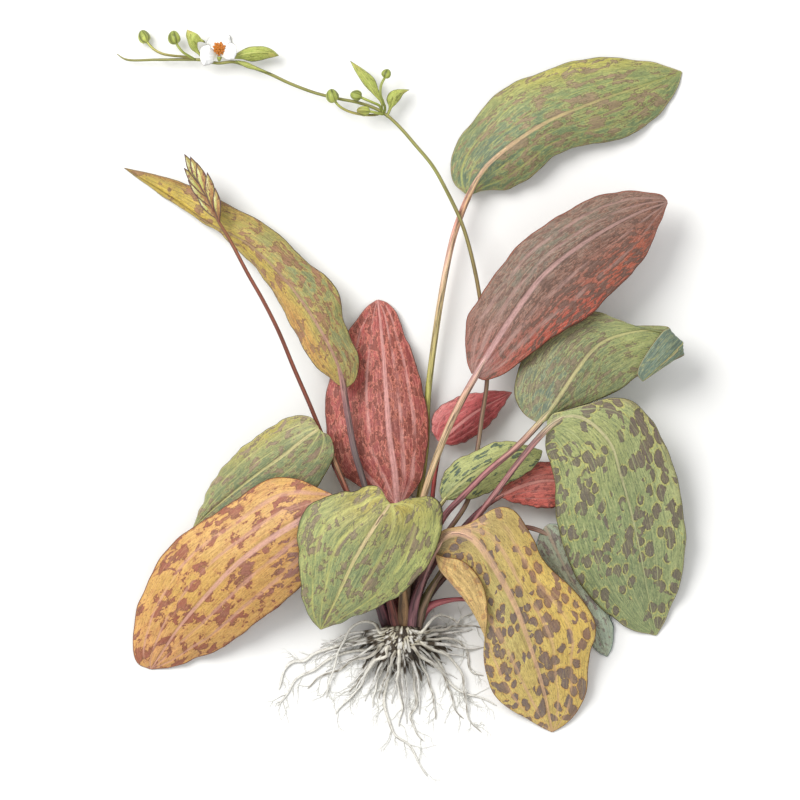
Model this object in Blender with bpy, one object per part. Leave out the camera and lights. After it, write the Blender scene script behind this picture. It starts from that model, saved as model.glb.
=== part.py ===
"""A spotted sword plant, lifted with bare roots and laid on its back on a flat surface.

Lengths are in millimetres and are turned into metres where a mesh is made. Points are
measured from the crown: x to the plant's right, y from the roots (below zero) towards the
flowers, and z up from the surface that the plant lies on. A leaf is given by the lines that a
botanist would draw: its midrib, its two margins and its stem, each through a few points.
Left and right are those of someone who looks from the leaf's base to its tip.
"""

from dataclasses import dataclass

import bmesh
import bpy
import numpy as np

MM = 0.001
CROWN_AT = np.array([1.0, -148.5, -0.25])

BLADE_THICKNESS = 1.1
BRACT_THICKNESS = 0.8
PETAL_THICKNESS = 0.6
STALK_SIDES = 6
STAMEN_SIDES = 8
ROOT_SIDES = 5

CROWN_CENTRE_X = 0.0
CROWN_CENTRE_Z = 15.0
CROWN_PROFILE = [(3.4, 12.2), (1.5, 13.2), (-4.0, 12.6), (-9.0, 10.2), (-13.0, 6.8), (-16.0, 2.8)]
CROWN_SIDES = 12
ROOT_GAP = 0.5
ROOT_LEAD = 3.0
TANGENT_STEP = 0.004
SIDE_STEP = 0.02
CURVE_STEPS = 24
ACROSS = np.array([-1.0, -0.5, 0.0, 0.5, 1.0])

GREEN = (0.22, 0.32, 0.12)
YELLOW_GREEN = (0.45, 0.48, 0.12)
BLUE_GREEN = (0.12, 0.19, 0.15)
GREY_GREEN = (0.22, 0.27, 0.16)
GOLD = (0.60, 0.42, 0.08)
ORANGE = (0.70, 0.38, 0.12)
RED = (0.42, 0.08, 0.06)
CRIMSON = (0.45, 0.05, 0.05)
RED_BROWN = (0.24, 0.12, 0.10)
OLIVE_STALK = (0.35, 0.36, 0.07)
BROWN_STALK = (0.25, 0.08, 0.05)
BUD_GREEN = (0.30, 0.40, 0.10)
PETAL_WHITE = (0.85, 0.85, 0.82)
STAMEN_ORANGE = (0.75, 0.25, 0.03)
ROOT_WHITE = (0.62, 0.60, 0.52)
CROWN_WHITE = (0.66, 0.66, 0.50)


@dataclass
class Blade:
    """A leaf, bract or petal: its lines in millimetres, and how finely the solid follows them."""

    name: str
    colour: tuple
    midrib: list
    left: list
    right: list
    stem: list
    stem_width: tuple = (4.2, 3.4)
    arch: float = 2.0
    thickness: float = BLADE_THICKNESS
    blade_rings: int = 11
    stem_rings: int = 7
    right_roll: list = None
    fold_rings: tuple = ()


@dataclass
class Strand:
    """A stalk, a root, or a bud on its stalk: a path, and its width at places along it."""

    name: str
    colour: tuple
    path: list
    places: list
    widths: list
    sides: int = STALK_SIDES


def smooth_curve(points, places):
    """Points at `places` (0 to 1 of its length) on a smooth curve through `points`.

    Each stretch between two points is a cubic whose speed follows the square root of the
    distance between points, which keeps it free of loops where points lie close together.
    """
    knots = np.asarray(points, dtype=float)
    ends = np.vstack([2 * knots[0] - knots[1], knots, 2 * knots[-1] - knots[-2]])
    gaps = np.sqrt(np.linalg.norm(np.diff(ends, axis=0), axis=1))
    dense = []
    for i in range(len(knots) - 1):
        p0, p1, p2, p3 = ends[i:i + 4]
        d0, d1, d2 = gaps[i:i + 3]
        leave = (p1 - p0) / d0 - (p2 - p0) / (d0 + d1) + (p2 - p1) / d1
        arrive = (p2 - p1) / d1 - (p3 - p1) / (d1 + d2) + (p3 - p2) / d2
        t = np.linspace(0, 1, CURVE_STEPS, endpoint=False)[:, None]
        dense.append(
            (2 * t**3 - 3 * t**2 + 1) * p1 + (t**3 - 2 * t**2 + t) * leave * d1
            + (3 * t**2 - 2 * t**3) * p2 + (t**3 - t**2) * arrive * d1
        )
    dense = np.vstack(dense + [knots[-1:]])
    length = np.concatenate([[0], np.cumsum(np.linalg.norm(np.diff(dense, axis=0), axis=1))])
    wanted = np.asarray(places, dtype=float) * length[-1]
    return np.stack([np.interp(wanted, length, dense[:, k]) for k in range(3)], axis=1)


def unit(vectors):
    """Each vector at length one."""
    return vectors / np.linalg.norm(vectors, axis=-1, keepdims=True)


def blade_face(blade, along, across):
    """The middle of the blade's thickness at each `along` (0 base, 1 tip) and `across`
    (-1 left margin, 0 midrib, 1 right margin), as an array of points.

    Each half is a parabola from the midrib to the margin, through a point halfway out that is
    raised by the arch. A rolled margin gives that halfway line itself.
    """
    rib = smooth_curve(blade.midrib, along)[:, None, :]
    swell = np.clip(4 * np.minimum(along, 1 - along), 0, 1)[:, None]
    face = np.zeros((len(along), len(across), 3))
    for side, margin, roll in ((-1, blade.left, None), (1, blade.right, blade.right_roll)):
        edge = smooth_curve(margin, along)[:, None, :]
        if roll:
            half = smooth_curve(roll, along)[:, None, :]
        else:
            half = (rib + edge) / 2
            half[:, :, 2] += blade.arch * swell
        v = np.abs(across)[None, :, None]
        curve = rib * (1 - v) * (1 - 2 * v) + 4 * half * v * (1 - v) + edge * v * (2 * v - 1)
        chosen = np.sign(across) == side if side < 0 else across >= 0
        face[:, chosen] = curve[:, chosen]
    return face


def blade_rings(blade):
    """Rings round the blade from its base to near its tip, and the tip's point.

    A ring runs from the left margin over the upper face to the right margin, and back below.
    """
    along = np.linspace(0, 1, blade.blade_rings + 2)[1:-1]
    along = np.sort(np.concatenate([[0.03], along, blade.fold_rings, [0.965]]))
    face = blade_face(blade, along, ACROSS)
    ahead = blade_face(blade, along + TANGENT_STEP, ACROSS)
    forward = ahead - blade_face(blade, along - TANGENT_STEP, ACROSS)
    to_the_right = blade_face(blade, along, ACROSS + SIDE_STEP)
    sideways = to_the_right - blade_face(blade, along, ACROSS - SIDE_STEP)
    up = unit(np.cross(sideways, forward))
    profile = np.interp(np.abs(ACROSS), [0.0, 0.5, 1.0], [1.0, 0.75, 0.0])
    half = 0.5 * blade.thickness * profile[None, :, None]
    over = face + half * up
    under = face - half * up
    rings = np.concatenate([over, under[:, -2:0:-1]], axis=1)
    return rings, np.array(blade.midrib[-1], dtype=float)


def tube_rings(points, places, widths, heights, sides, end_right):
    """Rings of an oval of the given width and height at `places` on the curve through `points`,
    carried back from its end without twisting. `end_right` is the oval's right side there.

    A ring starts at the left of the path, and goes over the top to the right and back below.
    """
    path = smooth_curve(points, places)
    ahead = smooth_curve(points, places + TANGENT_STEP)
    tangents = unit(ahead - smooth_curve(points, places - TANGENT_STEP))
    angles = np.pi - np.arange(sides) * 2 * np.pi / sides
    right = np.asarray(end_right, dtype=float)
    rings = []
    for point, tangent, width, height in list(zip(path, tangents, widths, heights))[::-1]:
        right = unit(right - tangent * np.dot(right, tangent))
        up = np.cross(right, tangent)
        oval = np.outer(np.cos(angles) * width / 2, right) + np.outer(np.sin(angles) * height / 2, up)
        rings.append(point + oval)
    return np.array(rings[::-1])


def stem_rings(blade, first_ring):
    """Rings round the leaf's stem from the crown to the blade, lined up with the blade."""
    places = np.linspace(0, 1, blade.stem_rings)
    wide = np.interp(places, [0, 1], blade.stem_width)
    high = wide * np.interp(places, [0, 0.8, 1], [0.9, 0.9, 0.75])
    sides = len(first_ring)
    left_margin, right_margin = first_ring[0], first_ring[sides // 2]
    return tube_rings(blade.stem, places, wide, high, sides, right_margin - left_margin)


def add_mesh(name, colour, rings, tip=None):
    """One closed solid from rings of points: triangles between rings, a cap, and a point or a cap.

    The triangles below lie under the ones above, so that a thin blade's faces never cross.
    """
    mesh = bmesh.new()
    loops = [[mesh.verts.new((p + CROWN_AT) * MM) for p in ring] for ring in rings]
    count = len(loops[0])
    for near, far in zip(loops, loops[1:]):
        for i in range(count):
            j = (i + 1) % count
            if i < count // 2:
                mesh.faces.new((near[i], near[j], far[j]))
                mesh.faces.new((near[i], far[j], far[i]))
            else:
                mesh.faces.new((near[i], near[j], far[i]))
                mesh.faces.new((near[j], far[j], far[i]))
    mesh.faces.new(loops[0])
    if tip is None:
        mesh.faces.new(loops[-1])
    else:
        point = mesh.verts.new((tip + CROWN_AT) * MM)
        for i in range(count):
            mesh.faces.new((loops[-1][i], loops[-1][(i + 1) % count], point))
    bmesh.ops.recalc_face_normals(mesh, faces=mesh.faces)
    data = bpy.data.meshes.new(name)
    mesh.to_mesh(data)
    mesh.free()
    data.shade_smooth()
    item = bpy.data.objects.new(name, data)
    item.data.materials.append(finish(name, colour))
    bpy.context.scene.collection.objects.link(item)
    return item


def finish(name, colour):
    """A satin plant finish in one colour."""
    material = bpy.data.materials.new(name)
    material.use_nodes = True
    shader = material.node_tree.nodes["Principled BSDF"]
    shader.inputs["Base Color"].default_value = (*colour, 1.0)
    shader.inputs["Roughness"].default_value = 0.5
    shader.inputs["Metallic"].default_value = 0.0
    return material


def add_blade(blade):
    """A leaf with its stem, or a bract or petal, as one solid."""
    rings, tip = blade_rings(blade)
    rings = np.concatenate([stem_rings(blade, rings[0]), rings])
    return add_mesh(blade.name, blade.colour, rings, tip)


def add_strand(strand):
    """A stalk, root or bud as one solid along its path."""
    end_right = np.cross(np.subtract(strand.path[-1], strand.path[-2]), (0.0, 0.0, 1.0))
    rings = tube_rings(strand.path, strand.places, strand.widths, strand.widths, strand.sides, end_right)
    return add_mesh(strand.name, strand.colour, rings)


def crown_radius(y):
    """The crown's radius at a height y along the plant."""
    heights, radii = zip(*reversed(CROWN_PROFILE))
    return float(np.interp(y, heights, radii))


def add_crown():
    """The short thick stem that every leaf, stalk and root grows from."""
    angles = np.arange(CROWN_SIDES) * 2 * np.pi / CROWN_SIDES
    heights, radii = (np.array(column)[:, None] for column in zip(*CROWN_PROFILE))
    x = CROWN_CENTRE_X + radii * np.cos(angles)
    z = CROWN_CENTRE_Z + radii * np.sin(angles)
    return add_mesh("crown", CROWN_WHITE, np.stack([x, heights + 0 * x, z], axis=2))


def root_path(angle, start_y, points):
    """A root's path: square out of the crown at `angle` round it, then through `points`."""
    round_crown = np.array([np.cos(np.radians(angle)), 0.0, np.sin(np.radians(angle))])
    taper = (crown_radius(start_y + 1.0) - crown_radius(start_y - 1.0)) / 2.0
    out = unit(round_crown - np.array([0.0, taper, 0.0]))
    surface = np.array([CROWN_CENTRE_X, start_y, CROWN_CENTRE_Z]) + round_crown * crown_radius(start_y)
    return [surface + out * ROOT_GAP, surface + out * (ROOT_GAP + ROOT_LEAD), *points]


LEAVES = [
    Blade(
        "leaf_top", GREEN,
        midrib=[(43.5, 285, 15), (54, 302, 19), (72, 317.5, 21), (95, 332, 21), (122, 343.5, 17),
                (152, 354, 10), (183, 365, 1)],
        left=[(41, 285, 13), (35, 291, 7), (31.5, 300, 3), (33, 311, 2), (40, 325, 3), (50, 337, 5),
              (60, 349, 6), (70, 356, 7), (82, 361, 7), (95, 366, 7), (108, 370.5, 7),
              (122, 373.5, 6), (136, 374, 5), (150, 372.5, 4), (165, 370.5, 3), (183, 365, 1)],
        right=[(47, 285, 13), (56, 287.5, 10), (68, 288, 9), (76, 291, 10), (85, 297, 12), (93, 304, 13),
               (101, 311, 13), (112, 315, 12), (125, 318, 10), (140, 320, 8), (152, 325, 6),
               (162, 332, 4), (171, 341, 3), (178, 351, 2), (183, 365, 1)],
        stem=[(1, 4.2, 5.8), (2, 14, 5.5), (6, 45, 6), (11, 85, 7.5), (15.5, 120, 8.5), (17, 155, 10),
              (22, 195, 11.5), (28, 232, 13), (36, 265, 14), (43, 283, 15)],
        stem_width=(4.0, 4.2), blade_rings=12, stem_rings=11,
    ),
    Blade(
        "leaf_dark_red", RED_BROWN,
        midrib=[(48, 168, 35), (60, 187, 39), (75, 210, 43), (92, 232, 46), (112, 248.5, 46),
                (135, 263, 43), (155, 273, 37), (173, 279.5, 30)],
        left=[(45, 168, 33), (42, 178, 30), (41, 190, 29), (43, 205, 30), (50, 217, 32), (60, 232, 35),
              (70, 245, 37), (82, 257, 38), (100, 269, 38), (118, 279.5, 36), (132, 284.5, 34),
              (145, 286.5, 32), (160, 285.5, 31), (169, 284, 30), (173, 279.5, 30)],
        right=[(49, 165, 34), (54, 163.5, 33), (60, 165, 34), (70, 170, 36), (80, 178, 38), (92, 187, 39),
               (105, 196, 39), (120, 204, 38), (130, 214, 37), (140, 224, 35), (152, 236, 33),
               (160, 248, 32), (166, 262, 31), (170, 272, 30), (173, 279.5, 30)],
        stem=[(1, 4.2, 19.6), (1.5, 14, 21), (4, 36, 24), (9, 64, 27), (14, 88, 29), (22, 112, 31),
              (32, 137, 33), (42, 157, 34), (47, 166, 34.8)],
        stem_width=(4.2, 4.6), blade_rings=11, stem_rings=8,
    ),
    Blade(
        "leaf_folded_tip", GREY_GREEN,
        midrib=[(91, 136, 42.5), (102, 153, 40), (114, 171, 36), (127, 186, 32), (145, 194, 29),
                (163, 196, 28), (179, 190, 28.5), (182.5, 188, 32), (178, 183, 35.5), (170, 175, 37),
                (156, 162.5, 37)],
        left=[(88, 136, 41), (80, 141, 36), (75, 148, 33), (73, 157, 31), (74, 166, 30), (77, 175, 29),
              (84, 187, 29), (98, 200, 29), (113, 208, 28), (127, 208, 28), (137, 204, 28),
              (145, 200, 28), (158, 199, 28), (169, 199, 28.5), (173, 198, 32), (169, 195.5, 35.5),
              (161, 185, 36.5), (152.5, 168.5, 36.5), (156, 162.5, 37)],
        right=[(95, 138, 41), (103, 143, 38), (112, 146, 36), (122, 149, 34), (130, 152, 32),
               (137, 155, 31), (144, 159, 30), (151, 165, 29), (161, 170, 28), (171, 174, 28),
               (180, 178, 28.5), (183.5, 180, 32), (179, 178, 35.5), (168, 170.5, 36.5), (156, 162.5, 37)],
        stem=[(5.8, 4.2, 19.6), (7, 14, 21), (11, 34, 25), (18, 56, 30), (28, 76, 34), (38, 87, 36.5),
              (55, 104, 39.5), (75, 121, 41.5), (90, 134.5, 42.5)],
        stem_width=(4.0, 4.2), blade_rings=11, stem_rings=8, arch=1.0,
        fold_rings=(0.725, 0.74, 0.755, 0.77, 0.785, 0.8),
    ),
    Blade(
        "leaf_right", YELLOW_GREEN,
        midrib=[(94, 134, 45), (103, 139.5, 47), (114, 140, 49), (125, 134, 49), (136, 121, 46),
                (141, 105, 41), (148, 81, 33), (155, 51, 22), (160, 25, 11), (166, -3, 1)],
        left=[(94, 137, 45), (98, 142, 45), (105, 144, 46), (112, 145.5, 46), (120, 147.5, 45),
              (128, 150.5, 43), (138, 152.5, 41), (148, 150.5, 39), (156, 145, 36), (163, 137, 33),
              (168, 127, 31), (173, 117, 28), (177, 107, 25), (180, 95, 22), (183, 80, 19),
              (184.5, 65, 16), (184, 50, 14), (182, 35, 10), (177, 20, 6), (172, 8, 3), (166, -3, 1)],
        right=[(94, 132, 44), (93, 120, 39), (96, 110, 37), (99, 100, 34), (99.5, 85, 31), (101, 70, 28),
               (105, 55, 24), (110, 42, 20), (118, 28, 15), (130, 15, 9), (140, 7, 6), (150, 1, 3),
               (158, -1, 2), (166, -3, 1)],
        stem=[(10, 4.4, 19.2), (12, 13, 21), (17, 25, 24), (25, 38, 28), (36, 55, 32), (46, 70, 35),
              (55, 83, 37.5), (62, 93, 39), (73, 107, 41), (84, 121, 43), (92.5, 132, 44.5)],
        stem_width=(4.0, 4.0), blade_rings=12, stem_rings=8,
    ),
    Blade(
        "leaf_blue_green", BLUE_GREEN,
        midrib=[(93, 68.5, 16.5), (100, 54, 16), (110, 34, 13), (120, 15, 9), (128, -3, 5), (134, -17, 1)],
        left=[(96, 70.5, 16), (106, 69, 15), (114, 59, 12), (121, 44, 9), (129, 28, 6), (135, 12, 4),
              (138, 0, 2.5), (137, -10, 2), (134, -17, 1)],
        right=[(92, 66.5, 15.5), (88.5, 62, 13), (88, 55, 11), (92, 46, 10), (100, 37, 9), (110, 25, 8),
               (118, 12, 6), (122, -2, 4), (126, -12, 2), (134, -17, 1)],
        stem=[(9.8, 4.4, 10.4), (12.5, 14, 10), (18, 24, 10), (29, 36, 11.5), (42, 48, 13.5),
              (58, 60, 15), (74, 68, 16), (92, 69, 16.5)],
        stem_width=(3.8, 3.2), blade_rings=9, stem_rings=7,
    ),
    Blade(
        "leaf_golden", GOLD,
        midrib=[(23, 55, 46), (28, 62, 50), (36, 65, 52), (44, 62.5, 53), (52, 54, 53), (61, 40, 50),
                (70, 24, 45), (78, 5, 36), (86, -18, 25), (93, -42, 12), (98, -66, 1)],
        left=[(23.5, 58, 46), (26, 66, 47), (34, 68.5, 48), (42, 70, 49), (52, 76, 50), (60, 80.5, 49),
              (67, 81.5, 47), (74, 78, 45), (80, 70, 43), (85, 61, 41), (90, 50, 38), (97, 41, 35),
              (108, 31, 31), (118, 20, 26), (125, 8, 22), (126, -2, 18), (123, -12, 15), (121, -25, 11),
              (120.5, -38, 8), (115, -51, 4), (106, -61, 2), (98, -66, 1)],
        right=[(22.5, 51, 45.5), (22.7, 45, 43), (26.5, 38, 41.5), (33.5, 30.3, 40.8), (41, 21.2, 38.8),
               (47, 11.4, 35.7), (51.3, 3, 32.5), (53.3, -4, 29), (53, -14, 23), (55, -28, 17),
               (60, -41, 11), (68, -49, 7), (80, -56, 4), (90, -62, 2), (98, -66, 1)],
        stem=[(5.8, 4.2, 24.2), (6.5, 12, 27), (9, 22, 31), (13, 33, 36), (18, 44, 41), (22.5, 53.5, 45.5)],
        stem_width=(4.2, 4.0), blade_rings=12, stem_rings=6,
    ),
    Blade(
        "leaf_front", GREEN,
        midrib=[(-8, 83, 65), (-14, 74, 68), (-22, 62, 68), (-31, 47, 64), (-39, 30, 56), (-47, 13, 44),
                (-53, 1.5, 32)],
        left=[(-5.5, 84, 64), (2, 86, 62), (10, 88, 60), (18, 88.5, 59), (23, 86, 58), (26, 80, 57),
              (26.5, 72, 56), (24, 60, 55), (20, 49, 54), (12, 38, 53), (2, 27.5, 51), (-8, 20.5, 49),
              (-20, 14.5, 45), (-35, 8.5, 40), (-45, 4.5, 36), (-53, 1.5, 32)],
        right=[(-9.5, 86, 64), (-12, 91, 62), (-16, 95, 60), (-23, 95, 59), (-31, 92, 58), (-40, 91, 57),
               (-49, 88.5, 56), (-58, 84, 55), (-65, 76, 54), (-67.5, 66, 53), (-67, 50, 51),
               (-66, 35, 47), (-64, 20, 42), (-60, 10, 37), (-53, 1.5, 32)],
        stem=[(1, 4.2, 24.2), (1, 14, 28), (0, 35, 38), (-3, 56, 48), (-6, 72, 56), (-7.5, 80, 61.5)],
        stem_width=(4.2, 4.0), blade_rings=13, stem_rings=6, arch=3.0,
    ),
    Blade(
        "leaf_orange", ORANGE,
        midrib=[(-42, 87, 47), (-54, 80, 49), (-68, 71.5, 49), (-88, 59, 45), (-108, 43.5, 38),
                (-127, 24, 28), (-145, 3, 16), (-156, -13, 7), (-164, -25, 1)],
        left=[(-43, 84, 46), (-46, 72, 44), (-52, 53, 41), (-60, 37, 36), (-70, 25.5, 31), (-80, 17, 26),
              (-90, 9.5, 22), (-100, 2, 18), (-110, -6, 13), (-120, -12, 9), (-130, -16, 6),
              (-140, -20, 4), (-151, -23.5, 2), (-164, -25, 1)],
        right=[(-43.5, 89, 46), (-50, 92, 44), (-60, 96, 42), (-70, 100, 40), (-78, 101, 38),
               (-87, 99, 36), (-95, 95, 34), (-105, 88, 31), (-118, 79, 27), (-130, 72, 24),
               (-140, 65, 21), (-150, 57, 17), (-158, 47, 14), (-163, 37, 12), (-168, 27, 9),
               (-172, 17, 7), (-174.5, 5, 5), (-175.5, -5, 3.5), (-175, -14, 2.5), (-172, -21, 1.5),
               (-164, -25, 1)],
        stem=[(-10.2, 4.4, 18.4), (-12.5, 12, 22), (-17, 24, 28), (-24.5, 46, 35), (-33, 68, 41),
              (-40.5, 84, 46)],
        stem_width=(4.0, 3.8), blade_rings=13, stem_rings=6, arch=2.5,
    ),
    Blade(
        "leaf_left", GREEN,
        midrib=[(-54, 132, 43), (-64, 125, 42), (-78, 114, 37), (-95, 102, 29), (-112, 89, 21),
                (-126, 77, 14), (-137, 66, 7)],
        left=[(-52, 130.5, 42.5), (-46.5, 127, 41), (-44, 119, 39.5), (-45.5, 111, 38), (-49, 104, 36),
              (-54, 96, 34), (-62, 86, 30), (-74, 76, 26), (-92, 67, 20), (-110, 62, 14),
              (-125, 62, 9), (-137, 66, 7)],
        right=[(-54.5, 134, 41), (-58, 138.5, 39), (-64, 141, 37), (-72, 140, 35), (-80, 136.5, 33),
               (-90, 130, 29), (-100, 123, 26), (-108, 116, 23), (-116, 107, 19), (-123, 98, 15),
               (-128, 88, 12), (-133, 76, 9), (-137, 66, 7)],
        stem=[(-3.8, 4.2, 24.2), (-6, 14, 26), (-13, 38, 30.5), (-24, 66, 33), (-34, 88, 34),
              (-41, 105, 34.5), (-47.5, 119, 36), (-51.5, 127, 39), (-53.5, 131, 42)],
        stem_width=(3.8, 3.0), blade_rings=11, stem_rings=8,
    ),
    Blade(
        "leaf_tall", YELLOW_GREEN,
        midrib=[(-37, 158, 32), (-41, 172, 36), (-52.5, 195.5, 35), (-73, 225.5, 28), (-99, 251.5, 19),
                (-125.5, 266, 12), (-152, 284, 5), (-182, 302.5, 1.5)],
        left=[(-38, 159, 31), (-45, 163, 28), (-55, 172, 26), (-64, 184, 24), (-71, 198, 21),
              (-79, 212, 18),
              (-86, 225, 15), (-95, 236, 12), (-104, 246, 10), (-113, 254, 8), (-122, 262, 6),
              (-135, 270, 4), (-150, 280, 3), (-165, 290, 2), (-182, 302.5, 1.5)],
        right=[(-35.5, 159, 32), (-31, 163, 31), (-28, 172, 30), (-28.5, 181, 29), (-33, 190, 28),
               (-38, 202, 27), (-39, 212, 26), (-42, 222, 24), (-50, 231.5, 22), (-59, 239, 20),
               (-68, 246, 18), (-76, 255, 16), (-87, 264, 14), (-97, 269.5, 12), (-107, 275, 11),
               (-118, 280.5, 9), (-130, 287, 7), (-141, 292, 5), (-153, 295.5, 4), (-166, 299, 2.5),
               (-182, 302.5, 1.5)],
        stem=[(-9.6, 4.4, 13.4), (-10.5, 14, 15), (-13.5, 40, 19), (-19, 75, 23), (-25, 98, 26),
              (-31, 118, 28),
              (-35, 140, 30), (-37, 156.5, 32)],
        stem_width=(4.0, 4.2), blade_rings=13, stem_rings=8,
    ),
    Blade(
        "leaf_red", RED,
        midrib=[(-3, 82, 21.5), (-5, 105, 23), (-8, 125, 23), (-10, 150, 21), (-12, 178, 16),
                (-14, 200, 9), (-16, 216.5, 2)],
        left=[(-5, 82, 21), (-20, 90, 18), (-35, 99, 16), (-43, 106, 15), (-47, 117, 14), (-49, 130, 14),
              (-50, 145, 13), (-48.5, 160, 12), (-44, 173, 10), (-39, 186, 8), (-34.5, 196, 6),
              (-29, 204, 4), (-23, 211.5, 3), (-16, 216.5, 2)],
        right=[(-1, 82, 21), (6, 89, 19), (12, 98, 18), (15, 110, 17), (17, 125, 16), (17, 140, 15),
               (15, 152, 14), (12, 163, 13), (8, 178, 11), (3, 190, 8), (0, 199, 6), (-4, 208, 4),
               (-9, 214, 3), (-16, 216.5, 2)],
        stem=[(-3.8, 4.2, 15), (-3.5, 14, 15.5), (-3, 40, 17.5), (-2.5, 62, 19.5), (-3, 80.5, 21.5)],
        stem_width=(4.2, 4.2), blade_rings=11, stem_rings=6, arch=1.0,
    ),
    Blade(
        "leaf_crimson", CRIMSON,
        midrib=[(24, 124, 15.5), (35, 133, 18), (48, 143, 17.5), (60, 150, 15.5), (72, 156, 13)],
        left=[(22.5, 125, 15), (19.5, 131, 14), (19.5, 138, 13), (23, 145, 13), (30, 150, 13),
              (40, 154, 13), (50, 155.5, 13), (60, 157, 13), (72, 156, 13)],
        right=[(25.5, 122, 15), (34, 121.5, 14), (42, 124, 13), (50, 129, 13), (57, 135, 13),
               (62, 141, 13), (67, 149, 13), (72, 156, 13)],
        stem=[(5.8, 4.2, 10.4), (8, 14, 9), (13.5, 36, 8), (17, 60, 8), (20.5, 88, 10), (22.5, 108, 12.5),
              (23.8, 122, 15)],
        stem_width=(3.6, 2.8), blade_rings=7, stem_rings=7, arch=1.0,
    ),
    Blade(
        "leaf_small_red", CRIMSON,
        midrib=[(64, 88.5, 20), (76, 94, 21), (90, 98, 21), (104, 98, 19), (118, 94, 16)],
        left=[(63.5, 90, 19), (68, 96, 18), (78, 103, 18), (87, 109.5, 18), (96, 110.5, 17),
              (106, 106, 16), (118, 94, 16)],
        right=[(65, 87, 19), (71, 84.5, 18), (80, 82.5, 17), (90, 80.5, 17), (100, 81, 16),
               (110, 85, 16), (118, 94, 16)],
        stem=[(5.8, 4.2, 15), (7.5, 14, 15.5), (14, 32, 17.5), (25, 50, 19), (40, 68, 20), (52, 80, 20),
              (62.5, 87.5, 20)],
        stem_width=(3.8, 3.6), blade_rings=6, stem_rings=7, arch=0.8,
    ),
    Blade(
        "leaf_dashed", YELLOW_GREEN,
        midrib=[(27, 86, 27.5), (36, 95, 31), (48, 104, 32.5), (60, 111, 32), (75, 117, 30),
                (91.5, 118, 27)],
        left=[(25.5, 87, 27), (24.5, 94, 26), (27, 102, 26), (31, 108, 27), (38, 113.5, 28),
              (47, 117, 28), (55, 121.5, 28), (64, 124, 28), (73, 123.5, 28), (82, 121, 27),
              (91.5, 118, 27)],
        right=[(28.5, 85.5, 27), (36, 86, 27), (47, 87, 27), (58, 91.5, 27), (66, 95, 27), (74, 99, 27),
               (84, 105.5, 27), (89.5, 112, 27), (91.5, 118, 27)],
        stem=[(1, 4.2, 15), (2.5, 14, 16), (7, 38, 20), (14, 62, 23), (20, 75, 25), (26, 84.5, 27)],
        stem_width=(3.8, 3.0), blade_rings=8, stem_rings=6, arch=1.0,
    ),
    Blade(
        "leaf_tucked", GREEN,
        midrib=[(51, 17.5, 15), (62, 10, 15), (76, -3, 12), (90, -19, 8)],
        left=[(52, 19.5, 14), (64, 20, 12), (78, 12, 10), (88, -2, 8), (90, -19, 8)],
        right=[(51, 15.5, 14), (56, 8, 12), (61, -3, 10), (71, -14, 8), (81, -20, 7), (90, -19, 8)],
        stem=[(10.2, 4.4, 14.8), (12.5, 10, 16.2), (16, 15, 17.5), (22, 18.5, 18), (31, 20.5, 17.5),
              (41, 21, 16.5), (50, 18.3, 15)],
        stem_width=(3.8, 2.6), blade_rings=5, stem_rings=7, arch=0.5,
    ),
]


def small_blade(name, colour, midrib, left, right, **options):
    """A bract or a petal: a blade on a short foot in place of a stem."""
    base = np.array(midrib[0], dtype=float)
    back = unit(base - np.array(midrib[1], dtype=float))
    settings = dict(
        stem=[base + back * 1.6, base + back * 0.2], stem_width=(1.4, 1.4), arch=0.6,
        thickness=BRACT_THICKNESS, blade_rings=3, stem_rings=2,
    )
    settings.update(options)
    return Blade(name, colour, midrib, left, right, **settings)


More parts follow.
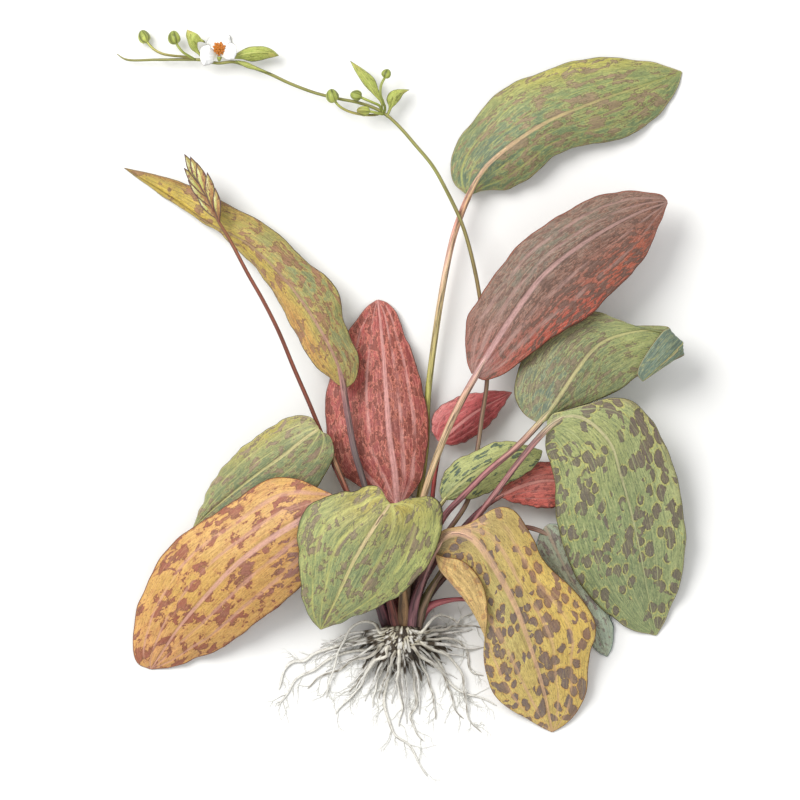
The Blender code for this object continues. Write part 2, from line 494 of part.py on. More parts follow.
BRACTS = [
    small_blade(
        "bract_lower_left", BUD_GREEN,
        midrib=[(-13.5, 344.5, 13.8), (-18.5, 353, 15.5), (-25, 362, 15), (-34, 372, 12)],
        left=[(-14.2, 344.6, 13.6), (-19.2, 350, 14), (-25, 356.5, 13), (-30, 364, 12), (-34, 372, 12)],
        right=[(-12.8, 345, 13.8), (-15, 352, 14), (-18, 360, 13), (-25, 366, 12), (-34, 372, 12)],
    ),
    small_blade(
        "bract_lower_right", BUD_GREEN,
        midrib=[(-7.3, 341.6, 13.6), (-6, 346, 14.6), (-2, 350.5, 14), (5, 353, 11)],
        left=[(-8.1, 341.9, 13.6), (-10, 346, 14), (-8.5, 350.5, 13), (-4, 353, 12), (5, 353, 11)],
        right=[(-6.5, 341.4, 13.6), (-4.8, 342.5, 13), (-2, 345.5, 12), (1, 350, 11), (5, 353, 11)],
    ),
    small_blade(
        "bract_upper_folded", BUD_GREEN,
        midrib=[(-132, 376, 13.5), (-136, 381, 15), (-138.5, 386, 15), (-140, 392, 13)],
        left=[(-132.8, 375.8, 13), (-137.5, 379.5, 12), (-139.5, 384, 11), (-140.6, 388, 11),
              (-140, 392, 13)],
        right=[(-131.3, 376.4, 13.5), (-133, 380, 14), (-132.5, 384.5, 14), (-128, 383.5, 13),
               (-140, 392, 13)],
        right_roll=[(-131.6, 376.2, 13.6), (-134.3, 381, 15.5), (-135, 386, 16.5), (-134, 388.5, 16),
                    (-140, 392, 13)],
        blade_rings=5,
    ),
    small_blade(
        "bract_upper_right", BUD_GREEN,
        midrib=[(-110.5, 373.5, 12.5), (-105, 375.5, 14), (-96, 377, 15), (-87, 377, 14), (-80, 375, 12)],
        left=[(-110.6, 374.5, 12.5), (-107, 377, 12), (-100, 380.5, 11), (-92, 381.3, 11), (-85, 379.3, 11),
              (-80, 375, 12)],
        right=[(-110, 373, 12.5), (-105.5, 372.8, 12), (-97, 371.3, 11), (-88, 373, 11), (-80, 375, 12)],
    ),
    small_blade(
        "bract_upper_clasping", BUD_GREEN,
        midrib=[(-107, 371, 13.2), (-100, 368.8, 13.4), (-92, 366, 12.6), (-84, 363, 11.6)],
        left=[(-107, 372, 13), (-101, 370.8, 12.8), (-95, 368, 12.4), (-84, 363, 11.6)],
        right=[(-107, 370.2, 13), (-101, 367, 12.8), (-95, 365.6, 12.4), (-84, 363, 11.6)],
        arch=0.2,
    ),
]

SPIKE_BRACTS = [
    ("spike_bract_1", (-118.8, 267.5), (-121.5, 289.0), 5.2, 34.8),
    ("spike_bract_2", (-122.8, 275.0), (-126.5, 299.0), 6.2, 33.0),
    ("spike_bract_3", (-126.2, 282.5), (-133.4, 305.5), 6.4, 31.2),
    ("spike_bract_4", (-129.2, 288.5), (-137.6, 309.3), 6.2, 29.4),
    ("spike_bract_5", (-129.8, 289.5), (-141.6, 311.0), 6.0, 24.6),
    ("spike_bract_6", (-126.4, 282.4), (-142.0, 302.0), 5.8, 22.0),
    ("spike_bract_7", (-123.8, 276.5), (-139.4, 294.0), 5.8, 20.2),
    ("spike_bract_8", (-119.8, 268.5), (-134.0, 284.3), 5.4, 18.4),
]
SPIKE_AXIS_Z = 27.0
SPIKE_FOOT_RISE = 3.0


def spike_bract(name, base, tip, width, level):
    """One narrow pointed bract of the closed spike: from the young stalk out to its own level."""
    base, tip = np.array(base), np.array(tip)
    run = tip - base
    left = np.array([-run[1], run[0]]) / np.linalg.norm(run) * width / 2
    foot = SPIKE_AXIS_Z + np.sign(level - SPIKE_AXIS_Z) * SPIKE_FOOT_RISE

    def line(parts, sideways, rise):
        spots = base + np.outer(parts, run) + np.outer(sideways, left)
        heights = foot + (level - foot) * np.minimum(1.0, 3.5 * np.array(parts)) + np.array(rise)
        return np.column_stack([spots, heights])

    midrib = line([0, 0.3, 0.65, 1], [0, 0, 0, 0], [0, 0.2, 0.2, 0])
    left_line = line([0.02, 0.3, 0.6, 0.8, 1], [0.25, 0.8, 1, 0.6, 0], [0, 0, 0, 0, 0])
    right_line = line([0.02, 0.3, 0.6, 0.8, 1], [-0.25, -0.8, -1, -0.6, 0], [0, 0, 0, 0, 0])
    return small_blade(name, BUD_GREEN, midrib, left_line, right_line, arch=0.2)


PETALS = [
    small_blade(
        "petal_left", PETAL_WHITE,
        midrib=[(-121, 375, 14), (-124.5, 375.5, 18), (-128.5, 375.5, 20), (-131.5, 375, 20)],
        left=[(-121, 374, 14), (-123.5, 370.5, 16), (-127, 368.5, 18), (-130.5, 370, 19),
              (-131.5, 375, 20)],
        right=[(-121, 376, 14), (-124, 380, 16), (-127.5, 382, 18), (-130.5, 380, 19), (-131.5, 375, 20)],
        thickness=PETAL_THICKNESS, blade_rings=4,
    ),
    small_blade(
        "petal_back", PETAL_WHITE,
        midrib=[(-119, 376.5, 10), (-119.3, 380, 5), (-119.5, 385, 2.6), (-119.5, 389, 2)],
        left=[(-120, 376.5, 10), (-125, 379, 5), (-127.5, 383, 2.5), (-125.5, 387.5, 1.2),
              (-119.5, 389, 2)],
        right=[(-118, 376.5, 10), (-113.5, 379, 5), (-111, 383.5, 2.5), (-113, 388.5, 1.2),
               (-119.5, 389, 2)],
        thickness=PETAL_THICKNESS, blade_rings=4,
    ),
    small_blade(
        "petal_right", PETAL_WHITE,
        midrib=[(-117, 375, 14), (-113.5, 376, 18), (-110, 377, 20), (-107.5, 378, 20)],
        left=[(-117, 376, 14), (-114.5, 380, 16), (-112, 383, 18), (-109, 382.5, 19), (-107.5, 378, 20)],
        right=[(-117, 374, 14), (-114, 372.5, 16), (-110.5, 372.3, 18), (-108, 374.5, 19),
               (-107.5, 378, 20)],
        thickness=PETAL_THICKNESS, blade_rings=4,
    ),
]


def stalk(name, colour, path, widths, rings, sides=STALK_SIDES):
    """A strand with its rings and its widths spaced evenly along it."""
    places = np.linspace(0, 1, rings)
    even = np.interp(places, np.linspace(0, 1, len(widths)), widths)
    return Strand(name, colour, path, places, even, sides)


def bud(name, path, head_width, head_length, foot_width=1.4):
    """A closed bud on its own thin stalk: an egg at the end of the path, blunt at the tip."""
    dense = smooth_curve(path, np.linspace(0, 1, 60))
    length = np.linalg.norm(np.diff(dense, axis=0), axis=1).sum()
    neck = 1 - head_length / length
    swell = np.array([0.1, 0.35, 0.62, 0.86, 1.0])
    egg = np.array([0.52, 0.93, 1.0, 0.72, 0.28])
    foot = np.linspace(0, neck, 5)
    places = np.concatenate([foot, neck + (1 - neck) * swell])
    widths = np.concatenate([np.full(len(foot), foot_width), head_width * egg])
    return Strand(name, BUD_GREEN, path, places, widths)


STALKS = [
    stalk(
        "flower_stalk", OLIVE_STALK, rings=33,
        widths=[4.0, 3.6, 3.2, 3.0, 2.8, 2.6, 2.4, 2.2, 2.0, 2.0, 1.8, 1.2],
        path=[(1, 4.2, 10.4), (3, 14, 11), (9, 34, 12.5), (18, 50, 14), (31, 67, 17), (43, 86, 20),
              (49, 118, 21.5), (52, 140, 22.5), (55, 160, 23.5), (55.5, 177, 24), (54, 195, 24),
              (51, 215, 24), (48, 232, 23), (43, 253, 22), (38, 268, 21), (30, 285, 19), (20, 303, 17),
              (8.5, 317, 15), (-1, 328, 13), (-9, 335.5, 12), (-17, 340.5, 11), (-28.5, 344.5, 10.5),
              (-41, 347, 10), (-57, 351, 10), (-73, 357, 10), (-87, 363.5, 10), (-101, 368.5, 10.5),
              (-110, 371, 10.5), (-120, 370.2, 10.5), (-131, 372.3, 10.5), (-140, 372.6, 10),
              (-160, 372.5, 8), (-180, 372.8, 6), (-186, 376.5, 5)],
    ),
    stalk(
        "young_stalk", BROWN_STALK, rings=24, widths=[3.6, 3.3, 3.0, 2.8, 2.7, 2.5, 2.3, 1.6],
        path=[(-3.8, 4.2, 19.6), (-5, 14, 21), (-11, 36, 25), (-21.5, 62, 28.5), (-35, 89, 30),
              (-44.5, 109, 31), (-53.5, 132, 32), (-60, 148, 33), (-70, 171, 33), (-80, 195, 32.5),
              (-90, 215, 31.5), (-100, 232.5, 30), (-112, 255, 27.5), (-119.3, 267, 27),
              (-123.2, 275, 27), (-125.8, 281, 27),
              (-129.5, 288, 27), (-134, 298, 27)],
    ),
]

BUDS = [
    bud(
        "bud_lower_1", head_width=8.8, head_length=9.0,
        path=[(-15.5, 336.6, 11.5), (-22, 335, 11), (-30, 336.2, 12), (-37, 339.3, 14), (-42, 343.2, 16),
              (-45, 348, 16.6), (-46.5, 353.2, 16.5)],
    ),
    bud(
        "bud_lower_2", head_width=7.4, head_length=7.6,
        path=[(-14.5, 342.2, 12.5), (-19, 344.5, 13.5), (-24, 346.6, 14), (-28, 348.3, 14),
              (-33.6, 350.2, 13.5)],
    ),
    bud(
        "bud_lower_3", head_width=7.0, head_length=8.6,
        path=[(-12, 336.4, 14.5), (-16, 337.6, 16), (-20, 338.4, 16.5), (-25, 339, 16.5), (-29.5, 339, 16)],
    ),
    bud(
        "bud_lower_4", head_width=6.6, head_length=6.2,
        path=[(-10.6, 340.6, 14.3), (-12.2, 344.5, 17.5), (-14, 349.5, 19.5), (-13.5, 356, 19),
              (-11, 361, 18.5),
              (-8.8, 366, 18)],
    ),
    bud(
        "bud_upper_1", head_width=8.2, head_length=8.8,
        path=[(-141, 374.6, 11.8), (-149, 375, 12), (-156, 376.3, 11), (-161.5, 379.2, 9), (-166, 384, 7),
              (-168, 387.5, 6), (-169.8, 391.8, 5.6)],
    ),
    bud(
        "bud_upper_2", head_width=8.6, head_length=9.0,
        path=[(-138.6, 375, 13.3), (-142.5, 377.2, 13), (-146, 381.5, 12), (-148, 386, 11),
              (-149.3, 391.3, 10)],
    ),
    stalk(
        "flower_cup", BUD_GREEN, rings=3, widths=[1.6, 2.4, 3.4],
        path=[(-119, 371.7, 11.8), (-119, 372.7, 12), (-119, 373.6, 12.2)],
    ),
    stalk(
        "stamens", STAMEN_ORANGE, rings=7, widths=[1.0, 2.8, 5.2, 7.4, 7.0, 3.6], sides=STAMEN_SIDES,
        path=[(-119, 376, 13), (-118.9, 378, 13.3), (-118.6, 380.5, 13.6), (-118.6, 383.6, 14)],
    ),
]


def root(number, angle, start_y, points, widths=(2.6, 2.2, 1.6, 0.9), rings=9):
    """One main root of the tuft."""
    return stalk(f"root_{number}", ROOT_WHITE, root_path(angle, start_y, points), widths, rings, ROOT_SIDES)


ROOTS = [
    root(1, 150, 0, [(-17, 5, 17), (-26, 5.9, 10), (-34, 1, 7), (-38.4, -7, 6), (-42, -16, 4.8),
                     (-45.5, -27, 4), (-50, -44, 0.8)]),
    root(2, 178, -2, [(-17, -4.5, 13), (-26, -5, 7), (-37, -7, 2), (-46, -11, 1.6), (-57, -15, 1.5),
                      (-64, -19, 1.4), (-71, -20, 1.3), (-77, -27, 1.2), (-80.5, -38, 0.9)],
         widths=(3.0, 2.9, 2.6, 2.2, 1.2), rings=12),
    root(3, 160, -7, [(-16, -12, 16), (-23, -17, 9), (-32, -19, 3), (-41, -25, 1.4), (-50, -28.5, 1.3),
                      (-56, -31, 1.2), (-61.5, -37.5, 0.8)]),
    root(4, 140, -9, [(-10, -15, 21), (-17, -19, 15), (-22, -25, 7), (-26, -34, 2), (-31, -41, 1.5),
                      (-39, -48, 1.3), (-43, -54.5, 0.8)]),
    root(5, 100, -11, [(-1.5, -18, 23), (-2.5, -27, 14), (-2.5, -37, 4), (0.3, -47, 1.6), (-2, -62, 0.9)]),
    root(6, 52, -9, [(11, -15, 22), (19, -20, 15), (26, -27, 6), (31, -38, 1.8), (34.5, -50, 1.4),
                     (40, -57, 0.8)]),
    root(7, 28, -6, [(17, -10, 19), (26, -14, 12), (33, -19, 5), (39, -28, 4), (41, -40, 4),
                     (43.5, -56, 1.2), (51.5, -66.5, 0.8)], rings=12),
    root(8, 12, 0, [(19, 0.5, 15), (28, 1.5, 8), (36.5, 3.5, 2.6), (45, 3.5, 1.4), (52.5, 1.8, 0.8)]),
    root(9, 40, 0, [(17.5, 6, 22.5), (24, 10.5, 13), (32, 9, 7.5), (36, 5.2, 6.2), (40, 9.5, 3),
                    (47, 12.5, 1)],
         rings=13),
    root(10, 0, -4, [(21, -5, 12), (29, -5, 7), (38, -7, 2), (43, -17, 1.4), (45, -26, 1.3),
                     (53.5, -29.3, 0.8)]),
    root(11, 330, -8, [(18, -13, 5), (26, -24, 1.8), (34, -37, 1.4), (50, -43, 1.2), (62, -48.5, 0.8)]),
    root(12, 285, -12, [(6, -20, 4), (8, -34, 1.6), (9, -49, 1.4), (5.5, -56, 1.3), (9, -65, 1.2),
                        (14, -71.5, 0.8)]),
    root(13, 255, -12, [(-6, -22, 4), (-11, -38, 1.6), (-10.5, -52, 1.5), (-4, -68, 1.3), (4, -74, 1.2),
                        (10, -83, 1.1), (16, -95, 0.8)], rings=13),
    root(14, 230, -10, [(-12, -22, 4), (-17, -36, 1.6), (-19.5, -50, 0.8)], rings=8),
    root(15, 310, -11, [(13, -22, 4), (18, -34, 1.6), (21, -46, 1.4), (22, -57.5, 0.8)], rings=8),
    root(16, 205, -6, [(-18, -10.5, 5), (-32, -13, 1.7), (-47, -18, 1.5), (-57, -25, 1.3), (-68, -31, 1.2),
                       (-74, -39, 1.1), (-81, -49, 0.8)], rings=12),
    root(17, 215, -9, [(-16, -19, 4), (-27, -30, 1.5), (-34, -40, 0.8)], rings=8),
    root(18, 120, -12, [(-6.5, -18, 20), (-9.5, -27, 10), (-13, -36, 4.6), (-15, -44, 1.2)], rings=8),
]


def main():
    """Clear the scene and build every piece of the plant."""
    for item in list(bpy.data.objects):
        bpy.data.objects.remove(item)
    add_crown()
    spike = [spike_bract(*entry) for entry in SPIKE_BRACTS]
    for blade in LEAVES + BRACTS + spike + PETALS:
        add_blade(blade)
    for strand in STALKS + BUDS + ROOTS:
        add_strand(strand)


if __name__ == "__main__":
    main()
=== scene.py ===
"""The looks of a spotted sword plant, lifted with bare roots and laid on its back.

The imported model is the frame: every piece here stands for one of its nodes. Lengths are in
millimetres, measured from the plant's crown (x to its right, y from the roots to the flowers,
z up from the surface that it lies on), and become metres in the row frame where a mesh is made.
A leaf is drawn as a botanist would: a midrib, two margins and a stem, each through a few points.
Left and right are those of someone who looks from the leaf's base to its tip.
"""

import logging
from dataclasses import dataclass
from enum import Enum
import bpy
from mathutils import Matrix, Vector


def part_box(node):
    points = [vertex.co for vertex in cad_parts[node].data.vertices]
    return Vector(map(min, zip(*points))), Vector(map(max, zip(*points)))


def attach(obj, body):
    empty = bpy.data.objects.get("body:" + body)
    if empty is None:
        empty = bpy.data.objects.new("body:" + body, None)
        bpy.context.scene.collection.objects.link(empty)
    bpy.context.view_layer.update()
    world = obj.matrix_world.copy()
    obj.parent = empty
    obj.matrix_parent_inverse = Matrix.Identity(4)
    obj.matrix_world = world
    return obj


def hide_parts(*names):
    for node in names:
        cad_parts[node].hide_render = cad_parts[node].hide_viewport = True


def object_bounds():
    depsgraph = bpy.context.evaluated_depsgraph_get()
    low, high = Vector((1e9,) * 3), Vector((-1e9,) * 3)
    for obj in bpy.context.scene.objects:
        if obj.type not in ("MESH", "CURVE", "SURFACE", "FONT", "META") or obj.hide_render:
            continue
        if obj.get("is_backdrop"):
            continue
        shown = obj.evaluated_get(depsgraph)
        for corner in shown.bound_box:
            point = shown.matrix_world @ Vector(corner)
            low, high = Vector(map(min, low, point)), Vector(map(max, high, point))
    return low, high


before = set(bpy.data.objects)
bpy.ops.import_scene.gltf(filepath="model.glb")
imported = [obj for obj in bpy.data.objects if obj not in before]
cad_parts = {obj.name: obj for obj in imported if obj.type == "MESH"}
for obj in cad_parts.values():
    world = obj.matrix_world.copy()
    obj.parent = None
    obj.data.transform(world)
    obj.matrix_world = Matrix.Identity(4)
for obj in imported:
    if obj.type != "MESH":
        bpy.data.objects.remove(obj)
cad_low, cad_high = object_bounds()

from types import SimpleNamespace

import bpy
import numpy as np

Array = np.ndarray
Point = tuple[float, float, float]
Points = list[Point]
Colour = tuple[int, int, int]
Stops = list[tuple[float, Colour]]

LOG = logging.getLogger("sword_plant")
MM = 0.001
BODY = "root"
FLOOR_LEVEL = 0.35
FULL_TURN = 2 * np.pi


def paint(colour: Colour) -> Array:
    """Turn a colour on the 0 to 255 screen scale into linear light.

    Args:
        colour: Red, green and blue as seen on a screen.

    Returns:
        The three linear values, by the screen's power law with its short straight foot.
    """
    share = np.asarray(colour, dtype=float) / 255
    return np.where(share <= 0.04045, share / 12.92, ((share + 0.055) / 1.055) ** 2.4)


def mix(first: Array, second: Array, amount: Array) -> Array:
    """Go from the first value towards the second by `amount`."""
    return first * (1 - amount) + second * amount


def unit(vectors: Array) -> Array:
    """Scale each vector to length one, leaving a vector of no length as it is."""
    lengths = np.linalg.norm(vectors, axis=-1, keepdims=True)
    return vectors / np.maximum(lengths, 1e-9)


def smooth_step(values: Array, low: float, high: float) -> Array:
    """Rise from 0 at `low` to 1 at `high` along the cubic 3t^2 - 2t^3."""
    share = np.clip((values - low) / (high - low), 0, 1)
    return share * share * (3 - 2 * share)


class GuideCurve:
    """A smooth line through points, read by the share of its length.

    Each stretch between two points is a cubic whose speed follows the square root of the
    distance between points, which keeps it free of loops where points lie close together.
    """

    STEPS = 24

    def __init__(self, points: Points | Array) -> None:
        """Lay the curve, each stretch cut into STEPS short chords.

        Args:
            points: What it goes through.
        """
        knots = np.asarray(points, dtype=float)
        ends = np.vstack([2 * knots[0] - knots[1], knots, 2 * knots[-1] - knots[-2]])
        gaps = np.sqrt(np.linalg.norm(np.diff(ends, axis=0), axis=1))[:, None]
        p0, p1, p2, p3 = ends[:-3], ends[1:-2], ends[2:-1], ends[3:]
        d0, d1, d2 = gaps[:-2], gaps[1:-1], gaps[2:]
        leave = ((p1 - p0) / d0 - (p2 - p0) / (d0 + d1) + (p2 - p1) / d1) * d1
        arrive = ((p2 - p1) / d1 - (p3 - p1) / (d1 + d2) + (p3 - p2) / d2) * d1
        t = np.linspace(0, 1, self.STEPS, endpoint=False)[None, :, None]
        stretches = (
            (2 * t**3 - 3 * t**2 + 1) * p1[:, None]
            + (t**3 - 2 * t**2 + t) * leave[:, None]
            + (3 * t**2 - 2 * t**3) * p2[:, None]
            + (t**3 - t**2) * arrive[:, None]
        )
        self._chords = np.vstack([stretches.reshape(-1, 3), knots[-1:]])
        steps = np.linalg.norm(np.diff(self._chords, axis=0), axis=1)
        self._run = np.concatenate([[0.0], np.cumsum(steps)])

    @property
    def length(self) -> float:
        """The curve's length in millimetres."""
        return float(self._run[-1])

    def at(self, places: Array) -> Array:
        """Find the points at `places`, shares of the curve's length from 0 to 1."""
        wanted = np.asarray(places, dtype=float) * self.length
        return np.stack([np.interp(wanted, self._run, self._chords[:, k]) for k in range(3)], axis=-1)


def crown_origin() -> Array:
    """Find where the guide points start from, in millimetres in the row frame.

    Returns:
        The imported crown's middle, moved to its own place in the guide points.
    """
    low, high = (np.array(corner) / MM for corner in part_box("crown"))
    middle = (low + high) / 2
    return np.array([middle[0], high[1] - Crown.TOP_Y, middle[2] - Crown.MIDDLE_Z])


def tube(path: Array, widths: Array, heights: Array, sides: int,
         up_hint: Array | Point = (0.0, 0.0, 1.0), lobes: Array | float = 0.0) -> Array:
    """Carry an oval along a path.

    The oval stands square to the path, with its height towards `up_hint`. Its radius is
    multiplied by 1 + lobes * cos(3 * angle).

    Args:
        path: Points with the shape (..., rings, 3).
        widths: The oval's width at each point.
        heights: The oval's height at each point.
        sides: How many points go round it.
        up_hint: The direction that its height leans to, nowhere along the path.
        lobes: How far three lobes stand out, as a share of the radius.

    Returns:
        Points with the shape (..., rings, sides, 3).
    """
    tangents = unit(np.gradient(path, axis=-2))
    right = unit(np.cross(tangents, up_hint))
    up = np.cross(right, tangents)
    angles = np.pi - np.arange(sides) * FULL_TURN / sides
    swell = 1 + np.asarray(lobes)[..., None] * np.cos(3 * (angles - np.pi / 2))
    across = (np.cos(angles) * swell * np.asarray(widths)[..., None] / 2)[..., None]
    upward = (np.sin(angles) * swell * np.asarray(heights)[..., None] / 2)[..., None]
    return path[..., None, :] + across * right[..., None, :] + upward * up[..., None, :]


def flat_normal(path: Array) -> Array:
    """Find the direction that a path strays least in, which is never along it."""
    _, _, axes = np.linalg.svd(path - path.mean(axis=0))
    return axes[-1] * (1.0 if axes[-1][2] >= 0 else -1.0)


def blend_stops(stops: Stops, places: Array) -> Array:
    """Read a run of colours.

    Args:
        stops: The colours, each with its place.
        places: Where they are read.

    Returns:
        A linear colour for each place, straight between two stops.
    """
    spots = [place for place, _ in stops]
    colours = np.array([paint(colour) for _, colour in stops])
    return np.stack([np.interp(places, spots, colours[:, k]) for k in range(3)], axis=-1)


def highlight_and_shade(tints: Array, highlight: Colour, amount: float, sides: int) -> Array:
    """Colour a stem with painted light: a painted highlight near its top, and painted shade on its two sides.

    Args:
        tints: Linear colours along it, (rings, 3).
        highlight: The painted highlight's colour.
        amount: How much of it shows.
        sides: How many points go round it.

    Returns:
        Linear colours, (rings, sides, 3).
    """
    turn = np.arange(sides) / sides
    share = np.clip(np.cos(FULL_TURN * (turn - 0.3)), 0, 1)[:, None] ** 6 * amount
    shade = 1 - 0.42 * np.cos(FULL_TURN * turn)[:, None] ** 4
    return mix(tints[:, None], paint(highlight), share) * shade


class Growth:
    """Collects rings of points into one closed mesh, with the values that its finishes read.

    A ring runs from the left over the top to the right and back below. Rings follow one
    another along the piece, each end is closed by a pole, and faces point outwards.
    """

    def __init__(self) -> None:
        """Start with nothing grown."""
        self._points: list[Array] = []
        self._faces: list[list[int]] = []
        self._slots: list[Array] = []
        self._values: list[dict[str, Array]] = []
        self._count = 0

    def add(self, rings: Array, values: dict[str, Array], slot: int = 0) -> None:
        """Add one tube, or many at once.

        Args:
            rings: Points with the shape (rings, sides, 3), or (tubes, rings, sides, 3).
            values: For each attribute an array that spreads to the rings' shape with 3 values.
            slot: The material slot of its faces.
        """
        stack = rings if rings.ndim == 4 else rings[None]
        tubes, count, sides, _ = stack.shape

        def with_poles(block: Array) -> Array:
            """Add the mean of each end's ring, which stands for the end's pole."""
            ends = np.stack([block[:, 0].mean(axis=1), block[:, -1].mean(axis=1)], axis=1)
            return np.concatenate([block.reshape(tubes, -1, 3), ends], axis=1).reshape(-1, 3)

        self._points.append(with_poles(stack))
        whole = {key: with_poles(np.broadcast_to(value, stack.shape)) for key, value in values.items()}
        self._values.append(whole)
        here = np.arange(sides)
        after = (here + 1) % sides
        first = (self._count + np.arange(tubes) * (count * sides + 2))[:, None]
        last = first + (count - 1) * sides
        pole = np.broadcast_to(last + sides, (tubes, sides))
        starts = first[:, None] + np.arange(count - 1)[None, :, None] * sides
        walls = [starts + here, starts + after, starts + sides + after, starts + sides + here]
        faces = []
        for corners in (walls, [first + after, first + here, pole], [last + here, last + after, pole + 1]):
            faces += np.stack(corners, axis=-1).reshape(-1, len(corners)).tolist()
        self._faces.extend(faces)
        self._slots.append(np.full(len(faces), slot))
        self._count += tubes * (count * sides + 2)

    def add_strand(self, path: Array, widths: Array, heights: Array, sides: int,
                   tints: Array, seed: float, slot: int = 0, **shape: object) -> None:
        """Add an oval tube along a path, or along many, with a grain that runs along it.

        Args:
            path: Points with the shape (rings, 3), or (tubes, rings, 3).
            widths: The oval's width at each point.
            heights: The oval's height at each point.
            sides: How many points go round it.
            tints: Linear colours that spread to the tube's shape.
            seed: What tells its grain from the others'.
            slot: The material slot of its faces.
            shape: What the tube takes for its up_hint and its lobes.
        """
        rings = tube(path, widths, heights, sides, **shape)
        steps = np.linalg.norm(np.diff(path, axis=-2), axis=-1)
        run = np.concatenate([np.zeros(steps.shape[:-1] + (1,)), np.cumsum(steps, axis=-1)], axis=-1)
        flow = np.empty(rings.shape)
        flow[..., 0] = run[..., None]
        flow[..., 1] = np.arange(sides) / sides
        flow[..., 2] = seed
        self.add(rings, {"wash": tints, "flow": flow}, slot)

    def settle(self, node: str, word: str, finishes: list[bpy.types.Material],
               origin: Array) -> None:
        """Make the object and put it in its node's place on the plant's body.

        Args:
            node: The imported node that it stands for.
            word: What its name adds to the node's.
            finishes: The materials, in the order of the slots.
            origin: Where the guide points start from in the row frame, in millimetres.
        """
        name = f"{node}_{word}"
        mesh = bpy.data.meshes.new(name)
        mesh.from_pydata((np.vstack(self._points) + origin) * MM, [], self._faces)
        for key in sorted(set().union(*self._values)):
            blocks = [given.get(key, np.zeros_like(at)) for given, at in zip(self._values, self._points)]
            attribute = mesh.attributes.new(key, "FLOAT_VECTOR", "POINT")
            attribute.data.foreach_set("vector", np.vstack(blocks).astype(np.float32).ravel())
        for finish in finishes:
            mesh.materials.append(finish)
        mesh.polygons.foreach_set("material_index", np.concatenate(self._slots).astype(np.int32))
        mesh.shade_smooth()
        mesh.update()
        piece = bpy.data.objects.new(name, mesh)
        bpy.context.scene.collection.objects.link(piece)
        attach(piece, BODY)
        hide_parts(node)
        LOG.info("%s stands for %s, %d faces", name, node, len(mesh.polygons))


class Value:
    """A value on a shader link: a sum written with it adds its own Math node."""

    def __init__(self, graph: "Graph", socket: bpy.types.NodeSocket) -> None:
        """Hold an output socket of a graph."""
        self.graph = graph
        self.socket = socket

    def __add__(self, other: object) -> "Value":
        """Add two values."""
        return self.graph.math("ADD", self, other)

    def __mul__(self, other: object) -> "Value":
        """Multiply two values."""
        return self.graph.math("MULTIPLY", self, other)

    def __sub__(self, other: object) -> "Value":
        """Take the other value from this one."""
        return self.graph.math("SUBTRACT", self, other)

    def __rsub__(self, other: object) -> "Value":
        """Take this value from the other one."""
        return self.graph.math("SUBTRACT", other, self)

    def __truediv__(self, other: object) -> "Value":
        """Divide this value by the other one."""
        return self.graph.math("DIVIDE", self, other)

    __radd__ = __add__
    __rmul__ = __mul__


